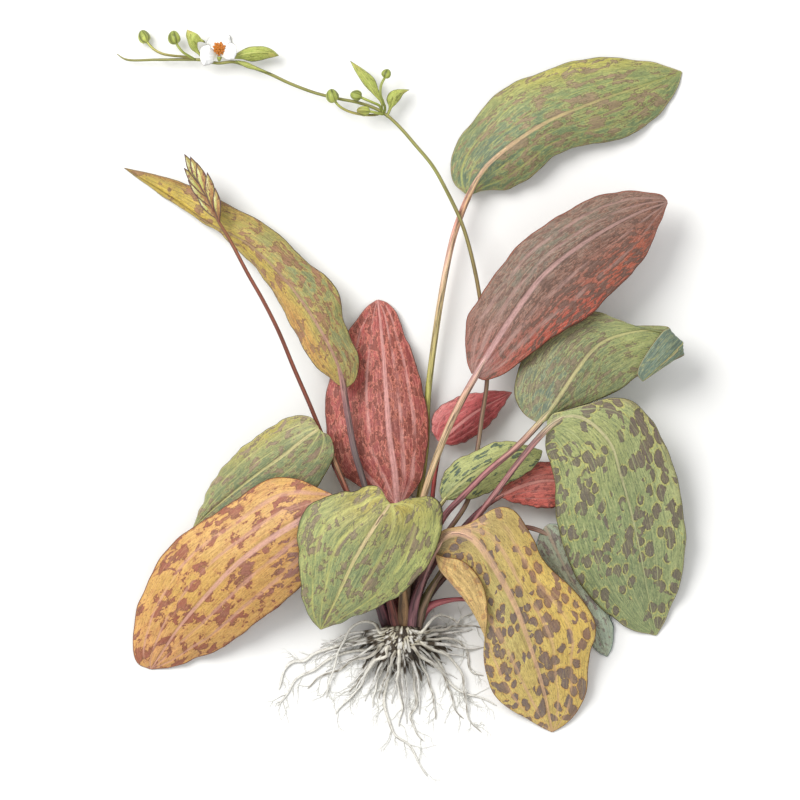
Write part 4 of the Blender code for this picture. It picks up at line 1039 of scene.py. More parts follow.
LEAVES = [
    Leaf("leaf_top", "green_leaf", seed=1.3, shape=BladeShape(
        midrib=[(43.5, 285, 15), (54, 302, 19), (72, 317.5, 21), (95, 332, 21), (122, 343.5, 17),
         (152, 354, 10), (183, 365, 1)],
        left=[(41, 285, 13), (35, 291, 7), (31.5, 300, 3), (33, 311, 2), (40, 325, 3), (50, 337, 5),
         (60, 349, 6), (70, 356, 7), (82, 361, 7), (108, 370.5, 7), (122, 373.5, 6), (136, 374, 5),
         (165, 370.5, 3)],
        right=[(47, 285, 13), (56, 287.5, 10), (68, 288, 9), (76, 291, 10), (85, 297, 12), (93, 304, 13),
         (101, 311, 13), (125, 318, 10), (140, 320, 8), (162, 332, 4), (178, 351, 2)]),
        stem=[(1, 4.2, 5.8), (2, 14, 5.5), (11, 85, 7.5), (15.5, 120, 8.5), (17, 155, 10), (28, 232, 13),
         (36, 265, 14), (43, 283, 15)], stem_width=(4, 4.2),
        stem_colours=[(0, (96, 70, 56)), (0.15, (136, 120, 66)), (0.55, (156, 152, 72)),
         (0.72, (184, 160, 116)), (0.85, (214, 172, 152)), (1, (186, 104, 90))], stem_highlight=(206, 196, 130),
        colours=BladeColours(base=(122, 138, 96), washes=(Wash((92, 108, 90), 0.12, -0.3, (0.24, 1.2)),
         Wash((184, 172, 78), 0.68, -1, (0.32, 0.42)), Wash((156, 162, 92), 0.8, 0.1, (0.22, 0.5), 0.6)),
         patches=(Patch(0.5, 0.2, (0.35, 0.8), 0.25),), under=(140, 152, 116),
         veins=((212, 168, 140), (160, 164, 94)), rim=(222, 210, 142), blotch=(136, 114, 92),
         blotch_two=(152, 124, 106), halo=(184, 176, 100), light=(190, 190, 122), dark=(86, 96, 74),
         blotch_size=4.4, blotch_stretch=2.2, strokes=0.58, vein_width=1.6)),
    Leaf("leaf_dark_red", "brown_red_leaf", seed=2.1, shape=BladeShape(
        midrib=[(48, 168, 35), (75, 210, 43), (92, 232, 46), (112, 248.5, 46), (135, 263, 43), (155, 273, 37),
         (173, 279.5, 30)],
        left=[(45, 168, 33), (42, 178, 30), (41, 190, 29), (43, 205, 30), (50, 217, 32), (70, 245, 37),
         (82, 257, 38), (100, 269, 38), (118, 279.5, 36), (132, 284.5, 34), (145, 286.5, 32),
         (160, 285.5, 31), (169, 284, 30)],
        right=[(49, 165, 34), (54, 163.5, 33), (70, 170, 36), (80, 178, 38), (105, 196, 39), (120, 204, 38),
         (130, 214, 37), (140, 224, 35), (152, 236, 33), (160, 248, 32), (170, 272, 30)]),
        stem=[(1, 4.2, 19.6), (4, 36, 24), (9, 64, 27), (14, 88, 29), (32, 137, 33), (47, 166, 34.8)],
         stem_width=(4.2, 4.6),
        stem_colours=[(0, (66, 44, 42)), (0.12, (88, 58, 54)), (0.4, (168, 132, 100)), (0.7, (196, 168, 128)),
         (1, (184, 136, 124))], stem_highlight=(222, 196, 152),
        colours=BladeColours(base=(134, 110, 97), washes=(Wash((168, 92, 84), 0.06, 0, (0.16, 1.2), 0.8),
         Wash((206, 88, 68), 0.4, 0.95, (0.34, 0.42)), Wash((190, 94, 66), 0.75, 0.75, (0.2, 0.4), 0.8),
         Wash((108, 108, 88), 0.5, -0.5, (0.3, 0.4), 0.75), Wash((140, 100, 84), 0.95, 0, (0.12, 0.8), 0.8)),
         patches=(Patch(0.55, 0.6, (0.3, 0.5), 0.3),), under=(140, 104, 96),
         veins=((200, 156, 152), (168, 134, 124)), rim=(188, 104, 78), outline=(96, 56, 48),
         blotch=(106, 82, 72), blotch_two=(94, 82, 72), halo=(160, 104, 82), light=(180, 146, 130),
         dark=(78, 60, 52), blotch_size=2.4, blotch_stretch=3, strokes=0.66, stroke_count=30, vein_width=2.2,
         side_veins=1.1)),
    Leaf("leaf_folded_tip", "green_leaf", seed=3.7, rings=170, shape=BladeShape(
        midrib=[(91, 136, 42.5), (102, 153, 40), (127, 186, 32), (145, 194, 29), (163, 196, 28),
         (179, 190, 28.5), (182.5, 188, 32), (178, 183, 35.5), (170, 175, 37), (156, 162.5, 37)],
        left=[(88, 136, 41), (80, 141, 36), (75, 148, 33), (73, 157, 31), (77, 175, 29), (84, 187, 29),
         (98, 200, 29), (113, 208, 28), (127, 208, 28), (137, 204, 28), (145, 200, 28), (158, 199, 28),
         (169, 199, 28.5), (173, 198, 32), (169, 195.5, 35.5), (152.5, 168.5, 36.5)],
        right=[(95, 138, 41), (103, 143, 38), (122, 149, 34), (130, 152, 32), (144, 159, 30), (151, 165, 29),
         (161, 170, 28), (171, 174, 28), (180, 178, 28.5), (183.5, 180, 32), (179, 178, 35.5),
         (168, 170.5, 36.5)], arch=1, frill=0.25, quilt=0.25),
        stem=[(5.8, 4.2, 19.6), (7, 14, 21), (11, 34, 25), (18, 56, 30), (28, 76, 34), (38, 87, 36.5),
         (55, 104, 39.5), (75, 121, 41.5), (90, 134.5, 42.5)], stem_width=(4, 4.2),
        stem_colours=[(0, (60, 40, 42)), (0.2, (84, 54, 56)), (0.45, (132, 74, 78)), (0.75, (148, 94, 94)),
         (1, (176, 146, 120))], stem_highlight=(196, 140, 136),
        colours=BladeColours(base=(132, 140, 96), washes=(Wash((92, 106, 90), 0.1, -0.3, (0.3, 0.9)),
         Wash((156, 162, 98), 0.62, 0.2, (0.2, 0.9), 0.8), Wash((168, 124, 98), 0.4, -0.95, (0.16, 0.3),
         0.5)), patches=(Patch(0.25, -0.2, (0.25, 0.9), 0.2), Patch(0.65, 0.3, (0.15, 0.8), -0.25)),
         under=(98, 116, 102), veins=((190, 180, 130), (170, 168, 108)), rim=(178, 166, 112),
         blotch=(118, 104, 84), blotch_two=(134, 112, 94), halo=(170, 166, 96), light=(184, 180, 126),
         dark=(82, 92, 76), blotch_size=3.2, blotch_stretch=2.6, blotch_amount=0.38, strokes=0.62,
         vein_width=1.5, side_veins=0.32)),
    Leaf("leaf_right", "yellow_green_leaf", seed=4.2, rings=150, shape=BladeShape(
        midrib=[(94, 134, 45), (103, 139.5, 47), (114, 140, 49), (125, 134, 49), (136, 121, 46),
         (141, 105, 41), (148, 81, 33), (155, 51, 22), (160, 25, 11), (166, -3, 1)],
        left=[(94, 137, 45), (98, 142, 45), (105, 144, 46), (120, 147.5, 45), (128, 150.5, 43),
         (138, 152.5, 41), (148, 150.5, 39), (163, 137, 33), (168, 127, 31), (177, 107, 25), (184.5, 65, 16),
         (184, 50, 14), (182, 35, 10), (172, 8, 3)],
        right=[(94, 132, 44), (93, 120, 39), (96, 110, 37), (99, 100, 34), (99.5, 85, 31), (101, 70, 28),
         (110, 42, 20), (118, 28, 15), (130, 15, 9), (140, 7, 6), (150, 1, 3)]),
        stem=[(10, 4.4, 19.2), (12, 13, 21), (17, 25, 24), (25, 38, 28), (55, 83, 37.5), (92.5, 132, 44.5)],
         stem_width=(4, 4),
        stem_colours=[(0, (70, 60, 42)), (0.15, (110, 102, 58)), (0.35, (128, 108, 74)),
         (0.55, (136, 84, 84)), (1, (160, 112, 108))], stem_highlight=(202, 150, 142),
        colours=BladeColours(base=(144, 156, 104), washes=(Wash((172, 174, 112), 0.22, 0.1, (0.18, 0.9), 0.8),
         Wash((132, 142, 102), 0.75, 0.1, (0.28, 1), 0.7), Wash((182, 188, 128), 0.5, -0.8, (0.3, 0.4), 0.8),
         Wash((156, 112, 90), 0.22, -1.05, (0.3, 0.16), 0.6)), patches=(Patch(0.3, -0.75, (0.35, 0.45), 0.4),
         Patch(0.25, 0.6, (0.2, 0.5), 0.3)), tones=(Patch(0.3, -0.8, (0.3, 0.4), 0.9),),
         under=(132, 146, 112), veins=((196, 184, 144), (170, 176, 124)), rim=(214, 206, 146),
         outline=(80, 72, 60), blotch=(98, 88, 84), blotch_two=(100, 80, 82), halo=(200, 190, 106),
         halo_amount=0.65, light=(198, 198, 140), dark=(84, 96, 78), blotch_size=6.8, blotch_stretch=1.3,
         blotch_amount=0.56, roundness=0.8, strokes=0.58, vein_width=1.2)),
    Leaf("leaf_blue_green", "blue_green_leaf", seed=5.9, rings=90, columns=35, shape=BladeShape(
        midrib=[(93, 68.5, 16.5), (100, 54, 16), (110, 34, 13), (120, 15, 9), (128, -3, 5), (134, -17, 1)],
        left=[(96, 70.5, 16), (106, 69, 15), (114, 59, 12), (121, 44, 9), (129, 28, 6), (138, 0, 2.5),
         (137, -10, 2)],
        right=[(92, 66.5, 15.5), (88.5, 62, 13), (88, 55, 11), (92, 46, 10), (100, 37, 9), (110, 25, 8),
         (118, 12, 6), (126, -12, 2)]),
        stem=[(9.8, 4.4, 10.4), (12.5, 14, 10), (18, 24, 10), (42, 48, 13.5), (74, 68, 16), (92, 69, 16.5)],
         stem_width=(3.8, 3.2),
        stem_colours=[(0, (56, 40, 36)), (0.3, (84, 56, 50)), (0.8, (128, 76, 66)), (1, (132, 96, 80))],
        colours=BladeColours(base=(176, 188, 164), washes=(Wash((176, 168, 134), 0.4, 0.2, (0.3, 0.5), 0.5),),
         under=(112, 124, 110), veins=((186, 160, 140), (170, 174, 146)), rim=(150, 176, 164),
         outline=(84, 94, 88), blotch=(136, 118, 114), blotch_two=(122, 122, 116), halo=(166, 158, 132),
         light=(190, 196, 170), dark=(104, 114, 106), blotch_size=3.6, blotch_stretch=2, blotch_amount=0.45,
         vein_width=1.2)),
    Leaf("leaf_golden", "golden_leaf", seed=6.4, rings=150, columns=61, shape=BladeShape(
        midrib=[(23, 55, 46), (28, 62, 50), (36, 65, 52), (44, 62.5, 53), (52, 54, 53), (70, 24, 45),
         (78, 5, 36), (86, -18, 25), (93, -42, 12), (98, -66, 1)],
        left=[(23.5, 58, 46), (26, 66, 47), (42, 70, 49), (52, 76, 50), (60, 80.5, 49), (67, 81.5, 47),
         (74, 78, 45), (85, 61, 41), (90, 50, 38), (97, 41, 35), (108, 31, 31), (118, 20, 26), (125, 8, 22),
         (126, -2, 18), (123, -12, 15), (121, -25, 11), (120.5, -38, 8), (115, -51, 4), (106, -61, 2)],
        right=[(22.5, 51, 46), (28, 49, 49), (36, 48, 51.5), (44, 43, 52), (51, 34, 50.5), (54.5, 24, 47.5),
         (55.5, 12, 43), (53, -14, 24.5), (55, -28, 17), (60, -41, 11), (68, -49, 7), (80, -56, 4),
         (90, -62, 2)],
        right_roll=[(22, 49.5, 44), (24, 42, 42), (31, 33.5, 41), (40, 23, 39), (54, 2, 32.5), (75, -39, 14),
         (85, -53, 7)], frill=0.12, quilt=0.25),
        stem=[(5.8, 4.2, 24.2), (6.5, 12, 27), (13, 33, 36), (22.5, 53.5, 45.5)], stem_width=(4.2, 4),
        stem_colours=[(0, (70, 42, 50)), (0.3, (98, 56, 66)), (0.7, (138, 92, 90)), (1, (190, 150, 122))],
         stem_highlight=(184, 134, 132),
        colours=BladeColours(base=(206, 180, 104), washes=(Wash((222, 188, 98), 0.62, -0.7, (0.35, 0.5)),
         Wash((190, 178, 114), 0.42, 0.2, (0.25, 0.4), 0.8), Wash((124, 108, 84), 0.05, -0.1, (0.12, 1), 0.8),
         Wash((164, 146, 100), 0.2, -0.6, (0.12, 0.5), 0.6)), patches=(Patch(0.08, 0, (0.15, 1), 0.3),
         Patch(0.9, 0, (0.3, 1), 0.25), Patch(0.42, -0.6, (0.22, 0.5), -0.25), Patch(0.62, 0.6, (0.2, 0.5),
         0.2)), tones=(Patch(0.4, -0.8, (0.3, 0.4), 0.6),), under=(206, 172, 112),
         veins=((212, 172, 140), (206, 166, 128)), rim=(206, 152, 90), outline=(112, 76, 52),
         blotch=(100, 90, 92), blotch_two=(152, 108, 84), halo=(204, 142, 78), halo_amount=0.5,
         light=(226, 200, 128), dark=(134, 108, 70), blotch_size=6.2, blotch_stretch=1.25, blotch_amount=0.6,
         roundness=0.8, vein_width=3.1, side_veins=0.9)),
    Leaf("leaf_front", "green_leaf", seed=7.5, shape=BladeShape(
        midrib=[(-8, 83, 65), (-14, 74, 68), (-22, 62, 68), (-31, 47, 64), (-39, 30, 56), (-47, 13, 44),
         (-53, 1.5, 32)],
        left=[(-5.5, 84, 64), (10, 88, 60), (18, 88.5, 59), (23, 86, 58), (26, 80, 57), (26.5, 72, 56),
         (20, 49, 54), (12, 38, 53), (2, 27.5, 51), (-8, 20.5, 49), (-45, 4.5, 36)],
        right=[(-9.5, 86, 64), (-12, 91, 62), (-16, 95, 60), (-23, 95, 59), (-31, 92, 58), (-40, 91, 57),
         (-58, 84, 55), (-65, 76, 54), (-67.5, 66, 53), (-67, 50, 51), (-64, 20, 42), (-60, 10, 37)], arch=3),
        stem=[(1, 4.2, 24.2), (1, 14, 28), (0, 35, 38), (-6, 72, 56), (-7.5, 80, 61.5)], stem_width=(4.2, 4),
        stem_colours=[(0, (76, 54, 40)), (0.15, (112, 82, 54)), (0.6, (150, 118, 76)), (1, (204, 176, 138))],
         stem_highlight=(176, 140, 96),
        colours=BladeColours(base=(142, 152, 102), washes=(Wash((172, 148, 62), 0.12, -0.6, (0.2, 0.55)),
         Wash((172, 150, 68), 0.14, 0.7, (0.2, 0.55)), Wash((142, 150, 92), 0.5, 0.9, (0.3, 0.3), 0.6),
         Wash((192, 196, 116), 0.45, -0.9, (0.28, 0.35), 0.8), Wash((134, 146, 104), 0.55, -0.2, (0.3, 0.5),
         0.6)), under=(142, 152, 112), veins=((216, 188, 152), (192, 190, 112)), rim=(124, 118, 90),
         rim_width=0.6, outline=(84, 70, 54), blotch=(124, 108, 92), blotch_two=(150, 122, 98),
         halo=(180, 174, 100), light=(198, 194, 124), dark=(86, 94, 74), blotch_size=5.4, blotch_stretch=1.6,
         blotch_amount=0.44, strokes=0.58, vein_width=1.9, side_veins=1.2)),
    Leaf("leaf_orange", "orange_leaf", seed=8.2, rings=150, columns=57, shape=BladeShape(
        midrib=[(-42, 87, 47), (-54, 80, 49), (-68, 71.5, 49), (-88, 59, 45), (-108, 43.5, 38),
         (-127, 24, 28), (-145, 3, 16), (-156, -13, 7), (-164, -25, 1)],
        left=[(-43, 84, 46), (-52, 53, 41), (-60, 37, 36), (-70, 25.5, 31), (-80, 17, 26), (-100, 2, 18),
         (-110, -6, 13), (-120, -12, 9), (-130, -16, 6), (-151, -23.5, 2)],
        right=[(-43.5, 89, 46), (-50, 92, 44), (-70, 100, 40), (-78, 101, 38), (-87, 99, 36), (-95, 95, 34),
         (-118, 79, 27), (-130, 72, 24), (-140, 65, 21), (-150, 57, 17), (-158, 47, 14), (-163, 37, 12),
         (-168, 27, 9), (-172, 17, 7), (-175.5, -5, 3.5), (-175, -14, 2.5), (-172, -21, 1.5)], arch=2.5),
        stem=[(-10.2, 4.4, 18.4), (-12.5, 12, 22), (-17, 24, 28), (-33, 68, 41), (-40.5, 84, 46)],
         stem_width=(4, 3.8),
        stem_colours=[(0, (52, 34, 40)), (0.2, (84, 50, 58)), (0.7, (140, 80, 80)), (1, (200, 145, 135))],
         stem_highlight=(150, 90, 90),
        colours=BladeColours(base=(206, 160, 90), washes=(Wash((204, 166, 102), 0.35, 0.5, (0.25, 0.5), 0.8),
         Wash((200, 162, 80), 0.7, 0.2, (0.2, 0.6), 0.7), Wash((190, 144, 98), 0.15, -0.6, (0.15, 0.6), 0.6),
         Wash((212, 154, 104), 0.92, 0, (0.14, 0.9), 0.7)), tones=(Patch(0.2, -0.6, (0.2, 0.6), 0.8),),
         under=(196, 150, 106), veins=((212, 166, 154), (202, 152, 130)), rim=(184, 122, 84),
         outline=(120, 66, 48), blotch=(134, 74, 62), blotch_two=(140, 108, 106), halo=(194, 130, 84),
         light=(226, 184, 122), dark=(148, 98, 68), blotch_size=5.2, blotch_amount=0.57, roundness=0.25,
         vein_width=2.4, side_veins=1)),
    Leaf("leaf_left", "green_leaf", seed=9.8, shape=BladeShape(
        midrib=[(-54, 132, 43), (-64, 125, 42), (-78, 114, 37), (-95, 102, 29), (-126, 77, 14),
         (-137, 66, 7)],
        left=[(-52, 130.5, 42.5), (-46.5, 127, 41), (-44, 119, 39.5), (-45.5, 111, 38), (-54, 96, 34),
         (-62, 86, 30), (-74, 76, 26), (-92, 67, 20), (-110, 62, 14), (-125, 62, 9)],
        right=[(-54.5, 134, 41), (-58, 138.5, 39), (-64, 141, 37), (-72, 140, 35), (-80, 136.5, 33),
         (-90, 130, 29), (-100, 123, 26), (-108, 116, 23), (-123, 98, 15), (-133, 76, 9)]),
        stem=[(-3.8, 4.2, 24.2), (-6, 14, 26), (-13, 38, 30.5), (-24, 66, 33), (-34, 88, 34),
         (-41, 105, 34.5), (-47.5, 119, 36), (-51.5, 127, 39), (-53.5, 131, 42)], stem_width=(3.8, 3),
        stem_colours=[(0, (78, 38, 36)), (0.15, (108, 52, 48)), (0.7, (112, 58, 50)), (1, (166, 150, 104))],
         stem_highlight=(176, 112, 84),
        colours=BladeColours(base=(134, 142, 98), washes=(Wash((174, 158, 72), 0.3, 0.95, (0.3, 0.38)),
         # The dark teal wash at 0.66 along and -0.8 across is painted shadow, where the orange leaf's shade
         # falls on this leaf.
         Wash((84, 102, 88), 0.66, -0.8, (0.36, 0.85), 0.92), Wash((162, 162, 112), 0.1, 0.3, (0.12, 0.6),
         0.6)), under=(134, 146, 112), veins=((200, 186, 136), (190, 188, 122)), rim=(200, 192, 132),
         blotch=(134, 114, 96), blotch_two=(152, 122, 106), halo=(184, 172, 108), light=(192, 186, 130),
         dark=(86, 94, 80), blotch_size=4, blotch_stretch=2, blotch_amount=0.42, strokes=0.55)),
    Leaf("leaf_tall", "yellow_green_leaf", seed=10.6, rings=150, shape=BladeShape(
        midrib=[(-37, 158, 32), (-41, 172, 36), (-52.5, 195.5, 35), (-73, 225.5, 28), (-99, 251.5, 19),
         (-125.5, 266, 12), (-152, 284, 5), (-182, 302.5, 1.5)],
        left=[(-38, 159, 31), (-45, 163, 28), (-55, 172, 26), (-64, 184, 24), (-71, 198, 21), (-79, 212, 18),
         (-86, 225, 15), (-95, 236, 12), (-104, 246, 10), (-113, 254, 8), (-122, 262, 6), (-135, 270, 4),
         (-165, 290, 2)],
        right=[(-35.5, 159, 32), (-31, 163, 31), (-28, 172, 30), (-28.5, 181, 29), (-33, 190, 28),
         (-38, 202, 27), (-39, 212, 26), (-42, 222, 24), (-50, 231.5, 22), (-68, 246, 18), (-76, 255, 16),
         (-87, 264, 14), (-97, 269.5, 12), (-107, 275, 11), (-141, 292, 5), (-153, 295.5, 4),
         (-166, 299, 2.5)]),
        stem=[(-9.6, 4.4, 13.4), (-13.5, 40, 19), (-19, 75, 23), (-25, 98, 26), (-31, 118, 28),
         (-35, 140, 30), (-37, 156.5, 32)], stem_width=(4, 4.2),
        stem_colours=[(0, (62, 44, 42)), (0.4, (90, 74, 74)), (0.75, (98, 82, 84)), (1, (148, 102, 104))],
         stem_highlight=(132, 120, 106),
        colours=BladeColours(base=(172, 160, 80), washes=(Wash((206, 174, 66), 0.75, -0.2, (0.3, 1)),
         Wash((120, 134, 98), 0.36, 0.55, (0.26, 0.6), 0.92), Wash((198, 142, 84), 0.22, -0.75, (0.2, 0.45),
         0.9), Wash((122, 132, 104), 0.1, 0.5, (0.1, 0.6), 0.7), Wash((134, 72, 52), 0.88, 1, (0.24, 0.3)),
         Wash((150, 84, 56), 1, 0.2, (0.05, 0.9))), patches=(Patch(0.86, -0.5, (0.2, 0.7), -0.25),
         Patch(0.75, 0.8, (0.12, 0.4), 0.3)), under=(158, 156, 108), veins=((168, 122, 114), (150, 134, 84)),
         rim=(160, 138, 90), outline=(92, 70, 52), blotch=(138, 100, 80), blotch_two=(158, 106, 80),
         halo=(204, 162, 84), light=(216, 194, 110), dark=(104, 88, 60), blotch_size=4.8, blotch_stretch=1.9,
         blotch_amount=0.53, roundness=0.2, strokes=0.55, vein_width=1.1)),
    Leaf("leaf_red", "red_leaf", seed=11.4, shape=BladeShape(
        midrib=[(-3, 82, 21.5), (-5, 105, 23), (-8, 125, 23), (-10, 150, 21), (-12, 178, 16), (-14, 200, 9),
         (-16, 216.5, 2)],
        left=[(-5, 82, 21), (-20, 90, 18), (-43, 106, 15), (-47, 117, 14), (-49, 130, 14), (-50, 145, 13),
         (-48.5, 160, 12), (-34.5, 196, 6), (-29, 204, 4), (-23, 211.5, 3)],
        right=[(-1, 82, 21), (6, 89, 19), (12, 98, 18), (17, 125, 16), (17, 140, 15), (8, 178, 11),
         (3, 190, 8), (-4, 208, 4), (-9, 214, 3)], arch=1),
        stem=[(-3.8, 4.2, 15), (-3.5, 14, 15.5), (-2.5, 62, 19.5), (-3, 80.5, 21.5)], stem_width=(4.2, 4.2),
        stem_colours=[(0, (80, 36, 36)), (0.5, (130, 56, 52)), (1, (200, 110, 105))],
        colours=BladeColours(base=(172, 86, 80), washes=(Wash((140, 96, 86), 0.5, 0.2, (0.25, 0.4), 0.7),
         Wash((180, 78, 72), 0.75, -0.5, (0.2, 0.5), 0.7), Wash((146, 70, 66), 0.15, 0, (0.15, 1), 0.7)),
         under=(158, 96, 90), veins=((214, 158, 152), (206, 150, 142)), rim=(206, 142, 126),
         outline=(112, 46, 44), blotch=(120, 60, 52), blotch_two=(138, 72, 54), halo=(216, 132, 108),
         halo_amount=0.65, light=(226, 156, 140), dark=(108, 52, 48), blotch_size=4.2, blotch_stretch=1.6,
         blotch_amount=0.52, strokes=0.62, vein_width=2.3, side_veins=0.95)),
    Leaf("leaf_crimson", "crimson_leaf", seed=12.9, rings=70, columns=33, shape=BladeShape(
        midrib=[(24, 124, 15.5), (35, 133, 18), (48, 143, 17.5), (72, 156, 13)],
        left=[(22.5, 125, 15), (19.5, 131, 14), (19.5, 138, 13), (23, 145, 13), (40, 154, 13),
         (50, 155.5, 13), (60, 157, 13)],
        right=[(25.5, 122, 15), (34, 121.5, 14), (42, 124, 13), (57, 135, 13)], arch=1),
        stem=[(5.8, 4.2, 10.4), (8, 14, 9), (13.5, 36, 8), (17, 60, 8), (22.5, 108, 12.5), (23.8, 122, 15)],
         stem_width=(3.6, 2.8),
        stem_colours=[(0, (70, 34, 34)), (0.5, (120, 50, 48)), (1, (180, 70, 66))],
        colours=BladeColours(base=(178, 78, 78), washes=(Wash((216, 144, 138), 0.3, -1, (0.4, 0.3), 0.8),
         Wash((150, 64, 66), 0.3, 0.4, (0.3, 0.5), 0.6)), under=(160, 86, 84),
         veins=((216, 152, 144), (198, 122, 116)), rim=(214, 148, 138), outline=(110, 44, 44),
         blotch=(140, 62, 62), blotch_two=(132, 70, 66), halo=(184, 86, 80), light=(212, 132, 124),
         dark=(112, 50, 50), blotch_size=3, blotch_amount=0.35)),
    Leaf("leaf_small_red", "crimson_leaf", seed=13.3, rings=70, columns=33, shape=BladeShape(
        midrib=[(64, 88.5, 20), (76, 94, 21), (90, 98, 21), (104, 98, 19), (118, 94, 16)],
        left=[(63.5, 90, 19), (68, 96, 18), (78, 103, 18), (87, 109.5, 18), (96, 110.5, 17), (106, 106, 16)],
        right=[(65, 87, 19), (71, 84.5, 18), (80, 82.5, 17), (90, 80.5, 17), (100, 81, 16), (110, 85, 16)],
         arch=0.8),
        stem=[(5.8, 4.2, 15), (7.5, 14, 15.5), (14, 32, 17.5), (25, 50, 19), (52, 80, 20), (62.5, 87.5, 20)],
         stem_width=(3.8, 3.6),
        stem_colours=[(0, (50, 32, 36)), (0.4, (82, 48, 56)), (0.9, (120, 56, 62)), (1, (170, 66, 66))],
        colours=BladeColours(base=(224, 114, 102), washes=(Wash((200, 130, 118), 0.5, 0, (0.3, 0.5), 0.6),),
         under=(164, 88, 86), veins=((218, 156, 144), (206, 138, 126)), rim=(210, 134, 122),
         outline=(110, 50, 48), blotch=(150, 82, 78), blotch_two=(140, 86, 78), halo=(190, 106, 92),
         light=(212, 138, 124), dark=(120, 62, 58), blotch_size=2.8, blotch_amount=0.35)),
    Leaf("leaf_dashed", "yellow_green_leaf", seed=14.1, rings=80, columns=37, shape=BladeShape(
        midrib=[(27, 86, 27.5), (36, 95, 31), (48, 104, 32.5), (75, 117, 30), (91.5, 118, 27)],
        left=[(25.5, 87, 27), (24.5, 94, 26), (27, 102, 26), (31, 108, 27), (38, 113.5, 28), (47, 117, 28),
         (55, 121.5, 28), (64, 124, 28), (73, 123.5, 28), (82, 121, 27)],
        right=[(28.5, 85.5, 27), (47, 87, 27), (58, 91.5, 27), (74, 99, 27), (84, 105.5, 27),
         (89.5, 112, 27)], arch=1),
        stem=[(1, 4.2, 15), (2.5, 14, 16), (7, 38, 20), (14, 62, 23), (20, 75, 25), (26, 84.5, 27)],
         stem_width=(3.8, 3),
        stem_colours=[(0, (80, 56, 40)), (0.5, (130, 90, 56)), (1, (160, 150, 84))],
        colours=BladeColours(base=(172, 176, 112), washes=(Wash((134, 146, 112), 0.1, 0, (0.14, 1), 0.6),),
         under=(148, 158, 108), veins=((194, 190, 128), (184, 188, 120)), rim=(194, 190, 130),
         blotch=(58, 76, 72), blotch_two=(70, 78, 66), halo=(150, 160, 96), light=(208, 206, 128),
         dark=(84, 96, 80), blotch_size=1.9, blotch_stretch=3.2, blotch_amount=0.5, roundness=0.4,
         vein_width=1)),
    Leaf("leaf_tucked", "green_leaf", seed=15.8, rings=60, columns=25, shape=BladeShape(
        midrib=[(51, 17.5, 15), (62, 10, 15), (76, -3, 12), (90, -19, 8)],
        left=[(52, 19.5, 14), (64, 20, 12), (78, 12, 10), (88, -2, 8)],
        right=[(51, 15.5, 14), (56, 8, 12), (61, -3, 10), (71, -14, 8), (81, -20, 7)], arch=0.5),
        stem=[(10.2, 4.4, 14.8), (12.5, 10, 16.2), (16, 15, 17.5), (22, 18.5, 18), (41, 21, 16.5),
         (50, 18.3, 15)], stem_width=(3.8, 2.6),
        stem_colours=[(0, (104, 50, 50)), (0.3, (142, 62, 72)), (0.8, (158, 80, 84)), (1, (140, 110, 92))],
         stem_highlight=(208, 140, 136),
        colours=BladeColours(base=(100, 120, 100), under=(110, 126, 104), blotch_amount=0.35)),
]

STALK_SUNK = 5.0
STALK_FLATNESS = 0.94


@dataclass(frozen=True)
class Strand:
    """A stalk: a path with widths spaced evenly along it, and the colours of its skin."""

    node: str
    slot: str
    path: Points
    widths: list[float]
    colours: Stops
    fleck: Colour
    # The colour of the painted highlight along the stalk's top.
    stem_highlight: Colour
    seed: float
    rings: int = 260
    sides: int = 16

    def build(self, bench: Bench) -> None:
        """Grow the stalk out of the crown.

        Args:
            bench: The shared paint groups and the crown's place.
        """
        knots = np.array(self.path, dtype=float)
        knots = np.vstack([knots[0] + unit(knots[0] - knots[1]) * STALK_SUNK, knots])
        places = np.linspace(0, 1, self.rings)
        widths = np.interp(places, np.linspace(0, 1, len(self.widths)), self.widths)
        widths = widths * np.interp(places, [0, 0.985, 1], [1, 1, 0.35])
        # The stalk's colours, with a painted highlight along its top and painted shade on its sides.
        wash = highlight_and_shade(blend_stops(self.colours, places), self.stem_highlight, 0.4, self.sides)
        growth = Growth()
        growth.add_strand(GuideCurve(knots).at(places), widths, widths * STALK_FLATNESS, self.sides, wash,
                          self.seed, lobes=0.03 * np.sin(places * 40))
        skin = bench.skin(self.node + "_skin", self.fleck, 0.45, 0.45)
        growth.settle(self.node, "grown", [skin], bench.origin)


